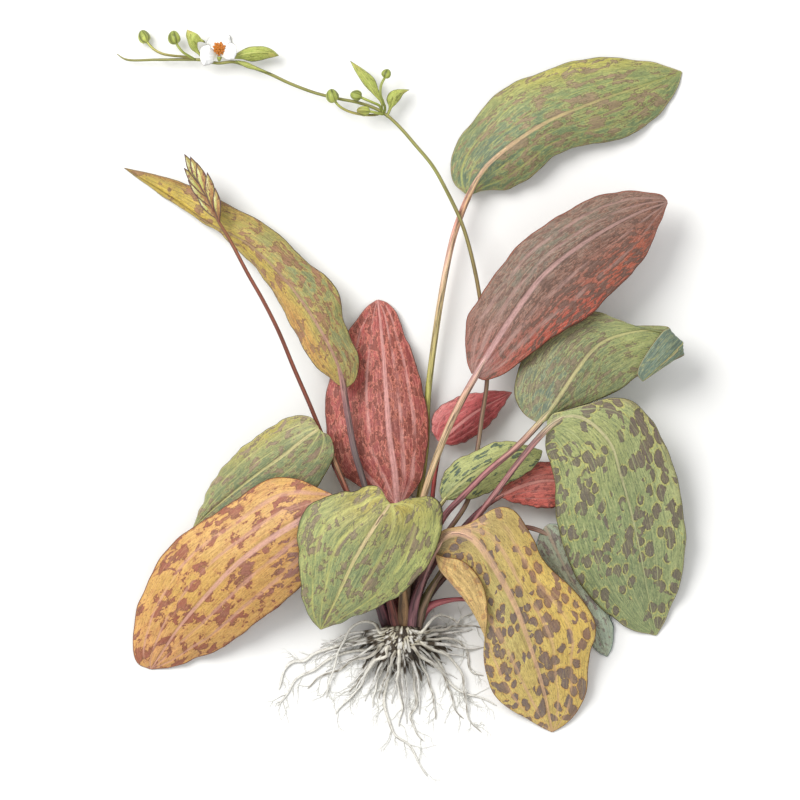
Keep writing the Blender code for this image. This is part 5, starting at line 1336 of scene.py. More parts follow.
STALKS = [
    Strand("flower_stalk", "olive_stalk", seed=31, rings=420,
         widths=[4, 3.6, 3.2, 3, 2.8, 2.6, 2.4, 2.2, 2, 2.1, 2, 1.4], colours=[(0, (78, 46, 42)),
         (0.1, (108, 60, 54)), (0.22, (140, 112, 98)), (0.36, (118, 74, 58)), (0.46, (128, 112, 60)),
         (0.58, (132, 136, 64)), (0.8, (128, 132, 62)), (0.92, (132, 136, 66)), (1, (126, 128, 58))],
         fleck=(96, 56, 46), stem_highlight=(176, 158, 112), path=[(1, 4.2, 10.4), (3, 14, 11), (9, 34, 12.5),
         (18, 50, 14), (31, 67, 17), (43, 86, 20), (49, 118, 21.5), (52, 140, 22.5), (55, 160, 23.5),
         (55.5, 177, 24), (54, 195, 24), (51, 215, 24), (48, 232, 23), (43, 253, 22), (38, 268, 21),
         (30, 285, 19), (20, 303, 17), (8.5, 317, 15), (-1, 328, 13), (-9, 335.5, 12), (-17, 340.5, 11),
         (-28.5, 344.5, 10.5), (-41, 347, 10), (-57, 351, 10), (-73, 357, 10), (-87, 363.5, 10),
         (-101, 368.5, 10.5), (-110, 371, 10.5), (-120, 370.2, 10.5), (-131, 372.3, 10.5),
         (-140, 372.6, 10), (-160, 372.5, 8), (-180, 372.8, 6), (-186, 376.5, 5)]),
    Strand("young_stalk", "brown_stalk", seed=32, widths=[3.6, 3.3, 3, 2.8, 2.7, 2.5, 2.3, 1.6],
         colours=[(0, (66, 36, 34)), (0.1, (92, 46, 42)), (0.4, (108, 52, 44)), (0.8, (112, 60, 46)),
         (1, (140, 116, 72))], fleck=(76, 38, 36), stem_highlight=(164, 96, 62), path=[(-3.8, 4.2, 19.6),
         (-5, 14, 21), (-11, 36, 25), (-21.5, 62, 28.5), (-35, 89, 30), (-44.5, 109, 31), (-53.5, 132, 32),
         (-60, 148, 33), (-70, 171, 33), (-80, 195, 32.5), (-90, 215, 31.5), (-100, 232.5, 30),
         (-112, 255, 27.5), (-119.3, 267, 27), (-123.2, 275, 27), (-125.8, 281, 27), (-129.5, 288, 27),
         (-134, 298, 27)]),
]


@dataclass(frozen=True)
class Bud:
    """A closed bud on its own thin stalk: three sepals pressed together into an egg."""

    node: str
    path: Points
    head_width: float
    head_length: float
    colours: Stops
    seed: float

    SIDES = 24
    FOOT_RINGS = 30
    HEAD_RINGS = 40
    FOOT_WIDTH = 1.7
    FLECK = (78, 86, 44)

    def build(self, bench: Bench) -> None:
        """Grow the bud.

        The head's radius is the square root of 1 - (2t - 1)^2, fuller towards its base, with
        three seams that grow towards the middle, darkened with painted shade.

        Args:
            bench: The shared paint groups and the crown's place.
        """
        curve = GuideCurve(self.path)
        neck = 1 - self.head_length / curve.length
        foot = np.linspace(0, neck, self.FOOT_RINGS, endpoint=False)
        places = np.concatenate([foot, np.linspace(neck, 1, self.HEAD_RINGS)])
        t = np.clip((places - neck) / (1 - neck), 0, 1)
        egg = np.sqrt(np.clip(1 - (2 * t**0.86 - 1) ** 2, 0, 1))
        widths = np.maximum(self.head_width * egg * (1 - 0.12 * t), np.where(t > 0, 0.25, self.FOOT_WIDTH))
        turn = np.arange(self.SIDES) / self.SIDES
        # Painted shade in the three grooves between the sepals, strongest at the head's middle.
        seam = np.clip(np.cos(3 * FULL_TURN * (turn - 0.25) + np.pi), 0, 1) ** 4
        shade = 1 - 0.45 * seam * np.sin(np.pi * t)[:, None]
        wash = blend_stops(self.colours, places)[:, None] * shade[..., None]
        path = curve.at(places)
        growth = Growth()
        growth.add_strand(path, widths, widths, self.SIDES, wash, self.seed, up_hint=flat_normal(path),
                          lobes=0.09 * np.sin(np.pi * np.clip(t * 1.1, 0, 1)))
        skin = bench.skin(self.node + "_skin", self.FLECK, 0.55, 0.7)
        growth.settle(self.node, "closed", [skin], bench.origin)


BUD_LIGHT = (170, 178, 88)
BUD_OLIVE = (124, 134, 58)
BUD_BROWN = (128, 120, 60)

BUDS = [
    Bud("bud_lower_1", head_width=8.8, head_length=9, seed=21, colours=[(0, BUD_BROWN),
         (0.55, (170, 160, 90)), (0.8, BUD_LIGHT), (1, BUD_OLIVE)], path=[(-12.6, 338, 11.7),
         (-17, 336.6, 11.3), (-23, 336.4, 11.2), (-30, 337.4, 12), (-37, 339.7, 14), (-42, 343.2, 16),
         (-45, 348, 16.6), (-46.5, 353.2, 16.5)]),
    Bud("bud_lower_2", head_width=7.4, head_length=7.6, seed=22, colours=[(0, BUD_OLIVE),
         (0.6, BUD_LIGHT), (1, BUD_OLIVE)], path=[(-13.4, 338.6, 11.7), (-14.5, 342.2, 12.5),
         (-19, 344.5, 13.5), (-24, 346.6, 14), (-28, 348.3, 14), (-33.6, 350.2, 13.5)]),
    Bud("bud_lower_3", head_width=7, head_length=8.6, seed=23, colours=[(0, BUD_OLIVE),
         (0.6, BUD_LIGHT), (1, BUD_BROWN)], path=[(-12.2, 337.4, 11.9), (-12.8, 336.8, 14.3),
         (-16, 337.6, 16), (-20, 338.4, 16.5), (-25, 339, 16.5), (-29.5, 339, 16)]),
    Bud("bud_lower_4", head_width=6.6, head_length=6.2, seed=24, colours=[(0, BUD_OLIVE),
         (0.7, BUD_LIGHT), (1, BUD_OLIVE)], path=[(-11.8, 337.6, 11.9), (-11, 340.6, 14.3),
         (-12.2, 344.5, 17.5), (-14, 349.5, 19.5), (-13.5, 356, 19), (-11, 361, 18.5), (-8.8, 366, 18)]),
    Bud("bud_upper_1", head_width=8.2, head_length=8.8, seed=25, colours=[(0, BUD_BROWN),
         (0.6, (170, 160, 90)), (0.85, BUD_LIGHT), (1, BUD_OLIVE)], path=[(-134.6, 372.6, 10.9),
         (-141, 374.2, 11.6), (-149, 375, 12), (-156, 376.3, 11), (-161.5, 379.2, 9), (-166, 384, 7),
         (-168, 387.5, 6), (-169.8, 391.8, 5.6)]),
    Bud("bud_upper_2", head_width=8.6, head_length=9, seed=26, colours=[(0, BUD_OLIVE),
         (0.5, BUD_LIGHT), (1, BUD_OLIVE)], path=[(-135.2, 372.7, 11), (-138.8, 374.8, 12.6),
         (-142.5, 377.2, 13), (-146, 381.5, 12), (-148, 386, 11), (-149.3, 391.3, 10)]),
]

BRACT_COLOURS = BladeColours(
    base=(176, 186, 92), under=(150, 160, 84),
    washes=(Wash((140, 156, 70), 0.2, 0.0, (0.3, 0.8), 0.6),
            Wash((196, 150, 90), 0.9, 0.3, (0.14, 0.5), 0.5)),
    veins=((204, 206, 124), (194, 196, 108)), vein_width=0.4, side_veins=0.7,
    rim=(122, 128, 60), rim_width=0.6, outline=(84, 84, 46), halo=(196, 190, 96),
    blotch=(120, 130, 56), blotch_size=1.8, blotch_stretch=3.0, speckle=0.1,
    light=(212, 212, 136), dark=(92, 106, 50), strokes=0.6, stroke_count=12.0,
)

SPIKE_COLOURS = BladeColours(
    base=(196, 202, 104), under=(128, 78, 62),
    washes=(Wash((160, 96, 74), 0.1, 0.0, (0.22, 1.0), 0.8),
            Wash((186, 92, 76), 0.45, 0.35, (0.3, 0.3), 0.85),
            Wash((230, 232, 184), 0.75, -0.5, (0.2, 0.4), 0.8),
            Wash((150, 84, 76), 1.0, 0.0, (0.07, 1.0), 0.7)),
    veins=((164, 90, 76), (186, 150, 96)), vein_width=0.4,
    rim=(92, 54, 66), rim_width=1.25, outline=(66, 40, 54), halo=(206, 140, 96),
    blotch=(120, 64, 62), blotch_size=1.5, blotch_stretch=3.0, blotch_amount=0.36, speckle=0.3,
    light=(220, 212, 140), dark=(112, 84, 70), stroke_count=12.0,
)

PETAL_COLOURS = BladeColours(
    base=(246, 246, 244), under=(226, 226, 220),
    washes=(Wash((230, 226, 196), 0.0, 0.0, (0.25, 1.0), 0.8),
            Wash((228, 230, 232), 0.7, 0.5, (0.2, 0.3), 0.6)),
)


class Kind(Enum):
    """The kinds of small blade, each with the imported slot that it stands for."""

    BRACT = "bud_green"
    PETAL = "petal_white"


@dataclass(frozen=True)
class SmallBlade:
    """A bract or a petal: a small blade on a short foot."""

    node: str
    kind: Kind
    shape: BladeShape
    colours: BladeColours
    seed: float

    RINGS = 56
    COLUMNS = 25
    FOOT_OUT = 1.6
    FOOT_IN = 1.2
    FOOT_WIDTH = 1.5
    FOOT_SIDES = 12
    FOOT_FLECK = (140, 100, 76)
    PETAL_LINE = (176, 172, 166)

    def build(self, bench: Bench) -> None:
        """Grow the small blade and its foot.

        Args:
            bench: The shared paint groups and the crown's place.
        """
        growth = Growth()
        blade = Blade(self.shape, self.RINGS, self.COLUMNS, self.seed)
        growth.add(blade.rings(), blade.values(self.colours))
        base, next_knot = np.array(self.shape.midrib[:2], dtype=float)
        reach = np.linspace(self.FOOT_OUT, -self.FOOT_IN, 14)
        path = base + unit(base - next_knot) * reach[:, None] - np.array([0, 0, 0.25])
        stations = [-self.FOOT_IN, 0.4, self.FOOT_OUT]
        widths = np.interp(reach, stations, [0.5, self.FOOT_WIDTH, self.FOOT_WIDTH * 0.85])
        tint = paint(self.colours.under)
        growth.add_strand(path, widths, widths * 0.8, self.FOOT_SIDES, tint, self.seed, slot=1)
        if self.kind is Kind.PETAL:
            skin = bench.petal.material(self.node + "_petal", {"line": self.PETAL_LINE})
        else:
            skin = bench.blade.material(self.node + "_blade", vars(self.colours))
        foot = bench.skin(self.node + "_foot", self.FOOT_FLECK, 0.3)
        growth.settle(self.node, "grown", [skin, foot], bench.origin)


def bract(node: str, seed: float, midrib: Points, left: Points, right: Points, arch: float = 0.6,
          right_roll: Points | None = None) -> SmallBlade:
    """Make a bract of the flower stalk from its lines."""
    shape = BladeShape(midrib, left, right, arch, right_roll, 0.45, frill=0.15, frills=2.0, quilt=0.12)
    return SmallBlade(node, Kind.BRACT, shape, BRACT_COLOURS, seed)


BRACTS = [
    bract("bract_lower_left", 41, midrib=[(-12.6, 339.6, 12.4), (-13.5, 344.5, 13.8),
         (-18.5, 353, 15.5), (-25, 362, 15), (-34, 372, 12)], left=[(-13.1, 339.8, 12.3),
         (-14.2, 344.6, 13.6), (-19.2, 350, 14), (-25, 356.5, 13), (-30, 364, 12)],
         right=[(-12.1, 339.8, 12.3), (-12.8, 345, 13.8), (-15, 352, 14), (-18, 360, 13), (-25, 366, 12)]),
    bract("bract_lower_right", 42, midrib=[(-9.4, 336.3, 12.4), (-7.5, 341.2, 13.6), (-6, 346, 14.6),
         (-2, 350.5, 14), (5, 353, 11)], left=[(-10.1, 336.6, 12.3), (-8.7, 341.6, 13.5), (-10, 346, 14),
         (-8.5, 350.5, 13), (-4, 353, 12)], right=[(-8.7, 336.1, 12.3), (-6.4, 340.9, 13.4),
         (-4.6, 342.6, 13), (-2, 345.5, 12), (1, 350, 11)]),
    bract("bract_upper_folded", 43, midrib=[(-132, 376, 13.5), (-136, 381, 15), (-138.5, 386, 15),
         (-140, 392, 13)], left=[(-132.8, 375.8, 13), (-137.5, 379.5, 12), (-139.5, 384, 11),
         (-140.6, 388, 11)], right=[(-131.3, 376.4, 13.5), (-133, 380, 14), (-132.5, 384.5, 14),
         (-128, 383.5, 13)], right_roll=[(-131.6, 376.2, 13.6), (-134.3, 381, 15.5), (-135, 386, 16.5),
         (-134, 388.5, 16)]),
    bract("bract_upper_right", 44, midrib=[(-110.5, 373.5, 12.5), (-105, 375.5, 14), (-96, 377, 15),
         (-87, 377, 14), (-80, 375, 12)], left=[(-110.6, 374.5, 12.5), (-107, 377, 12), (-100, 380.5, 11),
         (-92, 381.3, 11), (-85, 379.3, 11)], right=[(-110, 373, 12.5), (-105.5, 372.8, 12),
         (-97, 371.3, 11), (-88, 373, 11)]),
    bract("bract_upper_clasping", 45, arch=0.2, midrib=[(-107, 371, 13.2), (-100, 368.8, 13.4),
         (-92, 366, 12.6), (-84, 363, 11.6)], left=[(-107, 372, 13), (-101, 370.8, 12.8), (-95, 368, 12.4)],
         right=[(-107, 370.2, 13), (-101, 367, 12.8), (-95, 365.6, 12.4)]),
]


@dataclass(frozen=True)
class SpikeBract:
    """One narrow pointed bract of the closed spike, from the young stalk out to its own level."""

    number: int
    base: tuple[float, float]
    tip: tuple[float, float]
    width: float
    level: float

    AXIS_Z = 27.0
    FOOT_RISE = 1.2

    def build(self, bench: Bench) -> None:
        """Grow the bract from a straight midrib and two bowed margins.

        Args:
            bench: The shared paint groups and the crown's place.
        """
        base, tip = np.array(self.base), np.array(self.tip)
        run = tip - base
        left = np.array([-run[1], run[0]]) / np.linalg.norm(run) * self.width / 2
        foot = self.AXIS_Z + np.sign(self.level - self.AXIS_Z) * self.FOOT_RISE

        def line(shares: list[float], sideways: list[float], rise: float) -> Points:
            """Lay points along the run.

            Args:
                shares: Their places, as shares of the run.
                sideways: How far they stand aside, as shares of the half width.
                rise: How far they stand above the level.

            Returns:
                The points.
            """
            spots = base + np.outer(shares, run) + np.outer(sideways, left)
            heights = foot + (self.level - foot) * np.minimum(1.0, 3.5 * np.array(shares)) + rise
            return [tuple(point) for point in np.column_stack([spots, heights])]

        shape = BladeShape(
            midrib=line([0, 0.3, 0.65, 1], [0, 0, 0, 0], 0.3),
            left=line([0.02, 0.3, 0.6, 0.8], [0.25, 0.8, 1, 0.6], -0.3),
            right=line([0.02, 0.3, 0.6, 0.8], [-0.25, -0.8, -1, -0.6], -0.3),
            arch=0.15, thickness=0.5, frill=0.1, frills=2.0, quilt=0.1,
        )
        node = f"spike_bract_{self.number}"
        SmallBlade(node, Kind.BRACT, shape, SPIKE_COLOURS, 50.0 + self.number).build(bench)


SPIKE = [
    SpikeBract(1, (-118.8, 267.5), (-121.5, 289), 5.2, 32.6),
    SpikeBract(2, (-122.8, 275), (-126.5, 299), 6.2, 31.2),
    SpikeBract(3, (-126.2, 282.5), (-133.4, 305.5), 6.4, 29.9),
    SpikeBract(4, (-129.2, 288.5), (-137.6, 309.3), 6.2, 28.7),
    SpikeBract(5, (-129.8, 289.5), (-141.6, 311), 6, 25.4),
    SpikeBract(6, (-126.4, 282.4), (-142, 302), 5.8, 24.1),
    SpikeBract(7, (-123.8, 276.5), (-139.4, 294), 5.8, 22.8),
    SpikeBract(8, (-119.8, 268.5), (-134, 284.3), 5.4, 21.4),
]


def petal(node: str, seed: float, midrib: Points, left: Points, right: Points) -> SmallBlade:
    """Make a crinkled petal of the open flower from its lines."""
    shape = BladeShape(midrib, left, right, arch=0.6, thickness=0.3, frill=0.7, frills=3.0, quilt=0.35)
    return SmallBlade(node, Kind.PETAL, shape, PETAL_COLOURS, seed)


PETALS = [
    petal("petal_left", 61, midrib=[(-121, 375, 14), (-124.5, 375.5, 18), (-128.5, 375.5, 20),
         (-131.5, 375, 20)], left=[(-121, 374, 14), (-123.5, 370.5, 16), (-127, 368.5, 18),
         (-130.5, 370, 19)], right=[(-121, 376, 14), (-124, 380, 16), (-127.5, 382, 18),
         (-130.5, 380, 19)]),
    petal("petal_back", 62, midrib=[(-119, 376.5, 10), (-119.3, 380, 5), (-119.5, 385, 2.6),
         (-119.5, 389, 2)], left=[(-120, 376.5, 10), (-125, 379, 5), (-127.5, 383, 2.5),
         (-125.5, 387.5, 1.2)], right=[(-118, 376.5, 10), (-113.5, 379, 5), (-111, 383.5, 2.5),
         (-113, 388.5, 1.2)]),
    petal("petal_right", 63, midrib=[(-117, 375, 14), (-113.5, 376, 18), (-110, 377, 20),
         (-107.5, 378, 20)], left=[(-117, 376, 14), (-114.5, 380, 16), (-112, 383, 18), (-109, 382.5, 19)],
         right=[(-117, 374, 14), (-114, 372.5, 16), (-110.5, 372.3, 18), (-108, 374.5, 19)]),
]


@dataclass(frozen=True)
class FlowerHeart:
    """The open flower's middle: a green cup, and a dome of stamens round the seed heads."""

    cup: Point = (-119.0, 371.4, 11.8)
    middle: Point = (-118.8, 379.6, 12.4)
    reach: float = 5.2
    anthers: int = 26

    CUP_FLECK = (120, 90, 70)
    SEEDS = (210, 150, 60)
    THREAD = [(0, (214, 170, 70)), (0.55, (236, 196, 84)), (0.8, (210, 140, 46)), (1, (186, 106, 38))]
    THREAD_FLECK = (158, 78, 34)

    def build(self, bench: Bench) -> None:
        """Grow the cup and the stamens."""
        self._cup(bench)
        self._stamens(bench)

    def _cup(self, bench: Bench) -> None:
        """Grow the cup: a lobed bell that widens along the flower's axis.

        Args:
            bench: The shared paint groups and the crown's place.
        """
        t = np.linspace(0, 1, 24)
        widths = np.interp(t, [0, 0.25, 0.7, 1], [1.5, 2.0, 3.2, 3.4])
        tints = blend_stops([(0.0, BUD_OLIVE), (1.0, BUD_LIGHT)], t)[:, None]
        growth = Growth()
        growth.add_strand(np.array(self.cup) + np.outer(t, [0.0, 2.8, 0.6]), widths, widths, 24, tints, 71.0,
                          lobes=0.12 * t)
        skin = bench.skin("flower_cup_skin", self.CUP_FLECK, 0.4)
        growth.settle("flower_cup", "grown", [skin], bench.origin)

    def _stamens(self, bench: Bench) -> None:
        """Grow the stamens: short threads that fan out from a lumpy dome, each with an anther.

        The threads' directions follow a sunflower spiral, which spreads them evenly on a dome.

        Args:
            bench: The shared paint groups and the crown's place.
        """
        order = np.arange(self.anthers) + 0.5
        turn = order * np.pi * (3 - np.sqrt(5))
        out = np.sqrt(order / self.anthers)
        ways = np.stack([out * np.cos(turn), out * np.sin(turn) * 0.95, np.sqrt(1.15 - out**2)], axis=-1)
        t = np.linspace(0, 1, 14)
        path = np.array(self.middle) + ways[:, None] * (t[None, :, None] * self.reach)
        bead = np.exp(-(((t - 0.8) / 0.16) ** 2))
        widths = 0.55 + 1.45 * bead - 0.3 * (t > 0.97)
        growth = Growth()
        tints = blend_stops(self.THREAD, t)[:, None]
        growth.add_strand(path, widths, widths, 8, tints, 72.0, up_hint=(0.31, 0.11, 0.94))
        rise = np.linspace(0, np.pi, 16)
        core = np.array(self.middle) + np.outer(-np.cos(rise), [0.0, 2.6, 0.0])
        round_off = np.sin(rise)
        growth.add_strand(core, 5.2 * round_off + 0.3, 4.2 * round_off + 0.3, 16, paint(self.SEEDS), 73.0)
        skin = bench.skin("stamens_skin", self.THREAD_FLECK, 0.5, 0.6)
        growth.settle("stamens", "grown", [skin], bench.origin)


@dataclass(frozen=True)
class Crown:
    """The short thick stem that leaves, stalks and roots grow from, wrapped in old leaf bases.

    Its axis runs along the plant at x = 0. A shoot's place on it is an angle and a height.
    """

    rings: int = 90
    sides: int = 120
    seed: float = 81.0

    MIDDLE_Z = 15.0
    TOP_Y = 3.4
    HEIGHTS = (-16.2, -15.6, -13.0, -9.0, -4.0, 1.0, 3.0, 4.2, 5.0, 5.2)
    RADII = (1.0, 3.4, 6.8, 10.2, 12.6, 13.2, 12.4, 10.4, 6.0, 2.0)
    BETWEEN = (58, 48, 38)
    OLD_BASE = (196, 190, 164)
    HOLLOW = (52, 42, 34)
    YELLOW_SHOOT = Wash((196, 196, 96), 1.25, -2.0, (0.16, 2.4), 0.8)
    RED_SHOOT = Wash((196, 92, 66), 2.15, -1.0, (0.1, 2.0), 0.85)

    @classmethod
    def radius(cls, y: float) -> float:
        """Find the crown's radius at a height y along the plant."""
        return float(np.interp(y, cls.HEIGHTS, cls.RADII))

    def build(self, bench: Bench) -> None:
        """Grow the crown with its scars, its old leaf bases and two young shoots.

        The radius is the profile times 1 plus small waves round it and along it. An old base
        darkens towards its sides as a cube of the same wave.

        Args:
            bench: The shared paint groups and the crown's place.
        """
        knots = np.column_stack([self.RADII, self.HEIGHTS, np.zeros(len(self.RADII))])[::-1]
        outline = GuideCurve(knots).at(np.linspace(0, 1, self.rings))
        radius, y = outline[:, 0][:, None], outline[:, 1][:, None]
        turn = np.arange(self.sides)[None, :] / self.sides
        angle = FULL_TURN * turn
        bases = np.sin(7 * angle + 1.7 * np.sin(0.6 * y))
        scars = 0.03 * np.clip(np.sin(2.4 * y + 0.9 * np.sin(3 * angle)), 0, 1) ** 3
        body = radius * (1 + 0.02 * bases + 0.018 * np.sin(13 * angle + 0.9 * y) + scars)
        none = np.zeros(body.shape)
        rings = np.stack([body * np.cos(angle), y + none, self.MIDDLE_Z + body * np.sin(angle)], axis=-1)
        wash = mix(paint(self.BETWEEN), paint(self.OLD_BASE), (0.5 + 0.5 * bases)[..., None] ** 3 * 0.5)
        for shoot in (self.YELLOW_SHOOT, self.RED_SHOOT):
            wash = mix(wash, paint(shoot.colour), soft_spot(angle, y, shoot)[..., None] * shoot.strength)
        flow = np.stack([none - y, none + turn, none + self.seed], axis=-1)
        growth = Growth()
        growth.add(rings[:, ::-1], {"wash": wash[:, ::-1], "flow": flow[:, ::-1]})
        skin = bench.root.material("crown_skin", {"hollow": self.HOLLOW, "hollow_amount": 0.7})
        growth.settle("crown", "grown", [skin], bench.origin)


@dataclass(frozen=True)
class Fan:
    """Short roots beside a main one: how many, their shortest and longest run, and their widths.

    They stand off the crown by `lift`, and fan out by `spread`, a share of the main root's turn.
    """

    count: int
    reach: tuple[float, float]
    width: tuple[float, float]
    lift: float
    spread: float


@dataclass(frozen=True)
class Root:
    """One main root of the tuft, with short pale roots and lower dark brown ones beside it, side roots and
    hairs.

    Several roots at once are handed on as their paths, (roots, rings, 3), and their widths.
    """

    number: int
    angle: float
    start_y: float
    points: Points
    widths: tuple[float, ...] = (2.4, 1.9, 1.4, 0.8)

    GAP = 0.5
    LEAD = 3.0
    SUNK = 2.0
    SWAY = 0.35
    RINGS_PER_MM = 1.6
    YOUNG = Fan(3, (16.0, 48.0), (1.5, 2.6), 1.1, 1.0)
    # Dark brown short roots laid low among the pale ones, which darken the gaps between them.
    OLD = Fan(6, (10.0, 24.0), (2.6, 3.8), -0.2, 0.7)
    FAN_RINGS = 26
    BRANCHES = 8
    BRANCH_REACH = 14.0
    THIN_WIDTH = 0.6
    WISP_WIDTH = 0.45
    HAIR_WIDTH = 0.22
    MAIN = [(0, (226, 220, 202)), (0.3, (236, 232, 220)), (1, (240, 238, 230))]
    PALE = [(0, (206, 198, 172)), (0.15, (238, 234, 224)), (1, (244, 243, 238))]
    BROWN = [(0, (46, 36, 28)), (0.75, (58, 46, 38)), (1, (130, 120, 104))]
    DASH = (66, 54, 42)
    HAIR = (238, 237, 230)
    SHADE = (98, 84, 64)
    HOLLOW = (148, 136, 112)

    def _path(self) -> Array:
        """Run from inside the crown, square out of its side, then through the points.

        Returns:
            Points about 0.6 mm apart, swayed by two sines.
        """
        round_crown = np.array([np.cos(np.radians(self.angle)), 0.0, np.sin(np.radians(self.angle))])
        taper = (Crown.radius(self.start_y + 1.0) - Crown.radius(self.start_y - 1.0)) / 2.0
        out = unit(round_crown - np.array([0.0, taper, 0.0]))
        surface = np.array([0.0, self.start_y, Crown.MIDDLE_Z]) + round_crown * Crown.radius(self.start_y)
        lead = surface + np.outer([-self.SUNK, self.GAP, self.GAP + self.LEAD], out)
        curve = GuideCurve(np.vstack([lead, np.array(self.points, dtype=float)]))
        share = np.linspace(0, 1, int(curve.length * self.RINGS_PER_MM))
        path = curve.at(share)
        sway = self.SWAY * np.clip(share * 4, 0, 1)
        path[:, 0] += sway * np.sin(share * 26 + self.number)
        path[:, 1] += sway * np.sin(share * 19 + 2 * self.number)
        return path

    def _fan(self, fan: Fan, chance: np.random.Generator) -> tuple[Array, Array]:
        """Lay short roots over the crown and out over the surface, beside the main root.

        Each runs straight from a spot on the crown's upper side, held clear of the crown, and
        falls to the surface, with two slow waves.

        Args:
            fan: How many there are, and their sizes.
            chance: The source of their differences.

        Returns:
            Their paths and their widths.
        """
        end = self.points[min(3, len(self.points) - 1)]
        count = fan.count
        turned = np.arctan2(end[0], -end[1] - 4.0) + chance.uniform(-0.16, 0.16, count)
        heading = fan.spread * turned - np.pi / 2
        way = np.stack([np.cos(heading), np.sin(heading)], axis=-1)
        y = chance.uniform(-9.0, 3.6, count)
        x = 11.0 * way[:, 0] * chance.uniform(0.3, 1.0, count) + chance.uniform(-3, 3, count)
        long = chance.uniform(*fan.reach, count)[:, None, None]
        t = np.linspace(0, 1, self.FAN_RINGS)[None, :, None]
        side = np.stack([-way[:, 1], way[:, 0]], axis=-1)
        phase = chance.uniform(0, FULL_TURN, (2, count, 1, 1))
        sway = 0.055 * long * t * np.sin(5 * t + phase[0]) + 0.5 * t * np.sin(14 * t + phase[1])
        flat = np.stack([x, y], axis=-1)[:, None] + way[:, None] * long * t + side[:, None] * sway
        flat[..., 1] -= 0.10 * long[..., 0] * t[..., 0] ** 2
        taper = np.interp(t[..., 0], [0, 0.2, 0.6, 1], [0.55, 1.0, 0.8, 0.25])
        thick = chance.uniform(*fan.width, count)[:, None] * taper
        radius = np.interp(flat[..., 1], Crown.HEIGHTS, Crown.RADII, left=0.0)
        over = np.sqrt(np.clip(radius**2 - flat[..., 0] ** 2, 0, None))
        skin = np.where(over > 0, Crown.MIDDLE_Z + over + fan.lift, 0.0)
        height = Crown.MIDDLE_Z + 6.0 + 2.5 * fan.lift
        falling = FLOOR_LEVEL + thick * 0.5 + height * (1 - t[..., 0]) ** 1.8
        return np.concatenate([flat, np.maximum(skin, falling)[..., None]], axis=-1), thick

    def _side_roots(self, trunks: Array, count: int, reach: float, width: float,
                    chance: np.random.Generator) -> tuple[Array, Array]:
        """Grow thin roots out of others: each bends with two slow waves and sinks to the surface.

        Args:
            trunks: The paths that they grow from.
            count: How many grow in all.
            reach: Their usual length in millimetres.
            width: Their width where they leave.
            chance: The source of their differences.

        Returns:
            Their paths and their widths.
        """
        which = chance.integers(0, len(trunks), count)
        at = (chance.uniform(0.32, 0.98, count) * (trunks.shape[1] - 2)).astype(int)
        start = trunks[which, at]
        onward = unit(trunks[which, at + 1] - start)
        lean = np.where(chance.uniform(size=count) < 0.5, -1.0, 1.0) * chance.uniform(0.5, 1.5, count)
        side = np.stack([-onward[:, 1], onward[:, 0], np.zeros(count)], axis=-1)
        way = unit(onward + side * lean[:, None] + np.array([0.0, -0.35, -0.25]))
        long = (reach * chance.uniform(0.35, 1.35, count))[:, None]
        t = np.linspace(0, 1, 12)
        phase = chance.uniform(0, FULL_TURN, (2, count, 1))
        sway = 0.16 * long * t * np.sin(t * 4.2 + phase[0]) + 0.05 * long * t * np.sin(t * 11 + phase[1])
        path = start[:, None] + way[:, None] * (t * long)[..., None] + side[:, None] * sway[..., None]
        path[..., 2] = np.maximum(path[..., 2] - 0.35 * long * t**1.5, FLOOR_LEVEL + width * 0.6)
        return path, width * (1 - 0.75 * t)

    @classmethod
    def _shade(cls, tints: Array, share: Array, sides: int) -> Array:
        """Paint shade on a root: darken its underside, and one of its flanks in bands that come and go along
        it.

        Args:
            tints: Its colours along it.
            share: The places of those colours.
            sides: How many points go round it.

        Returns:
            Linear colours along it and round it.
        """
        turn = np.arange(sides) / sides
        # Painted shade: the underside darkest, and one flank darkened in bands along the root.
        under = (0.5 + 0.5 * np.cos(FULL_TURN * (turn - 0.75))) ** 2 * 0.55
        bands = 0.5 + 0.5 * np.sin(share * 31 + 4 * np.sin(share * 9))
        flank = np.clip(np.cos(FULL_TURN * (turn - 0.43)), 0, 1) ** 3 * (0.3 + 0.7 * bands[:, None])
        return mix(tints[..., None, :], paint(cls.SHADE), np.clip(under + flank, 0, 0.88)[..., None])

    def build(self, bench: Bench) -> None:
        """Grow the main root and all that stands beside it or grows from it, as one piece.

        Args:
            bench: The shared paint groups and the crown's place.
        """
        chance = np.random.default_rng(100 + self.number)
        growth = Growth()
        path = self._path()
        share = np.linspace(0, 1, len(path))
        widths = np.interp(share, np.linspace(0, 1, len(self.widths)), self.widths)
        widths *= (1 + 0.07 * np.sin(share * 47 + self.number)) * np.interp(share, [0, 0.97, 1], [1, 1, 0.3])
        tints = blend_stops(self.MAIN, share)
        growth.add_strand(path, widths, widths, 12, self._shade(tints, share, 12), 90.0 + self.number,
                          up_hint=flat_normal(path))
        t = np.linspace(0, 1, self.FAN_RINGS)
        young, young_widths = self._fan(self.YOUNG, chance)
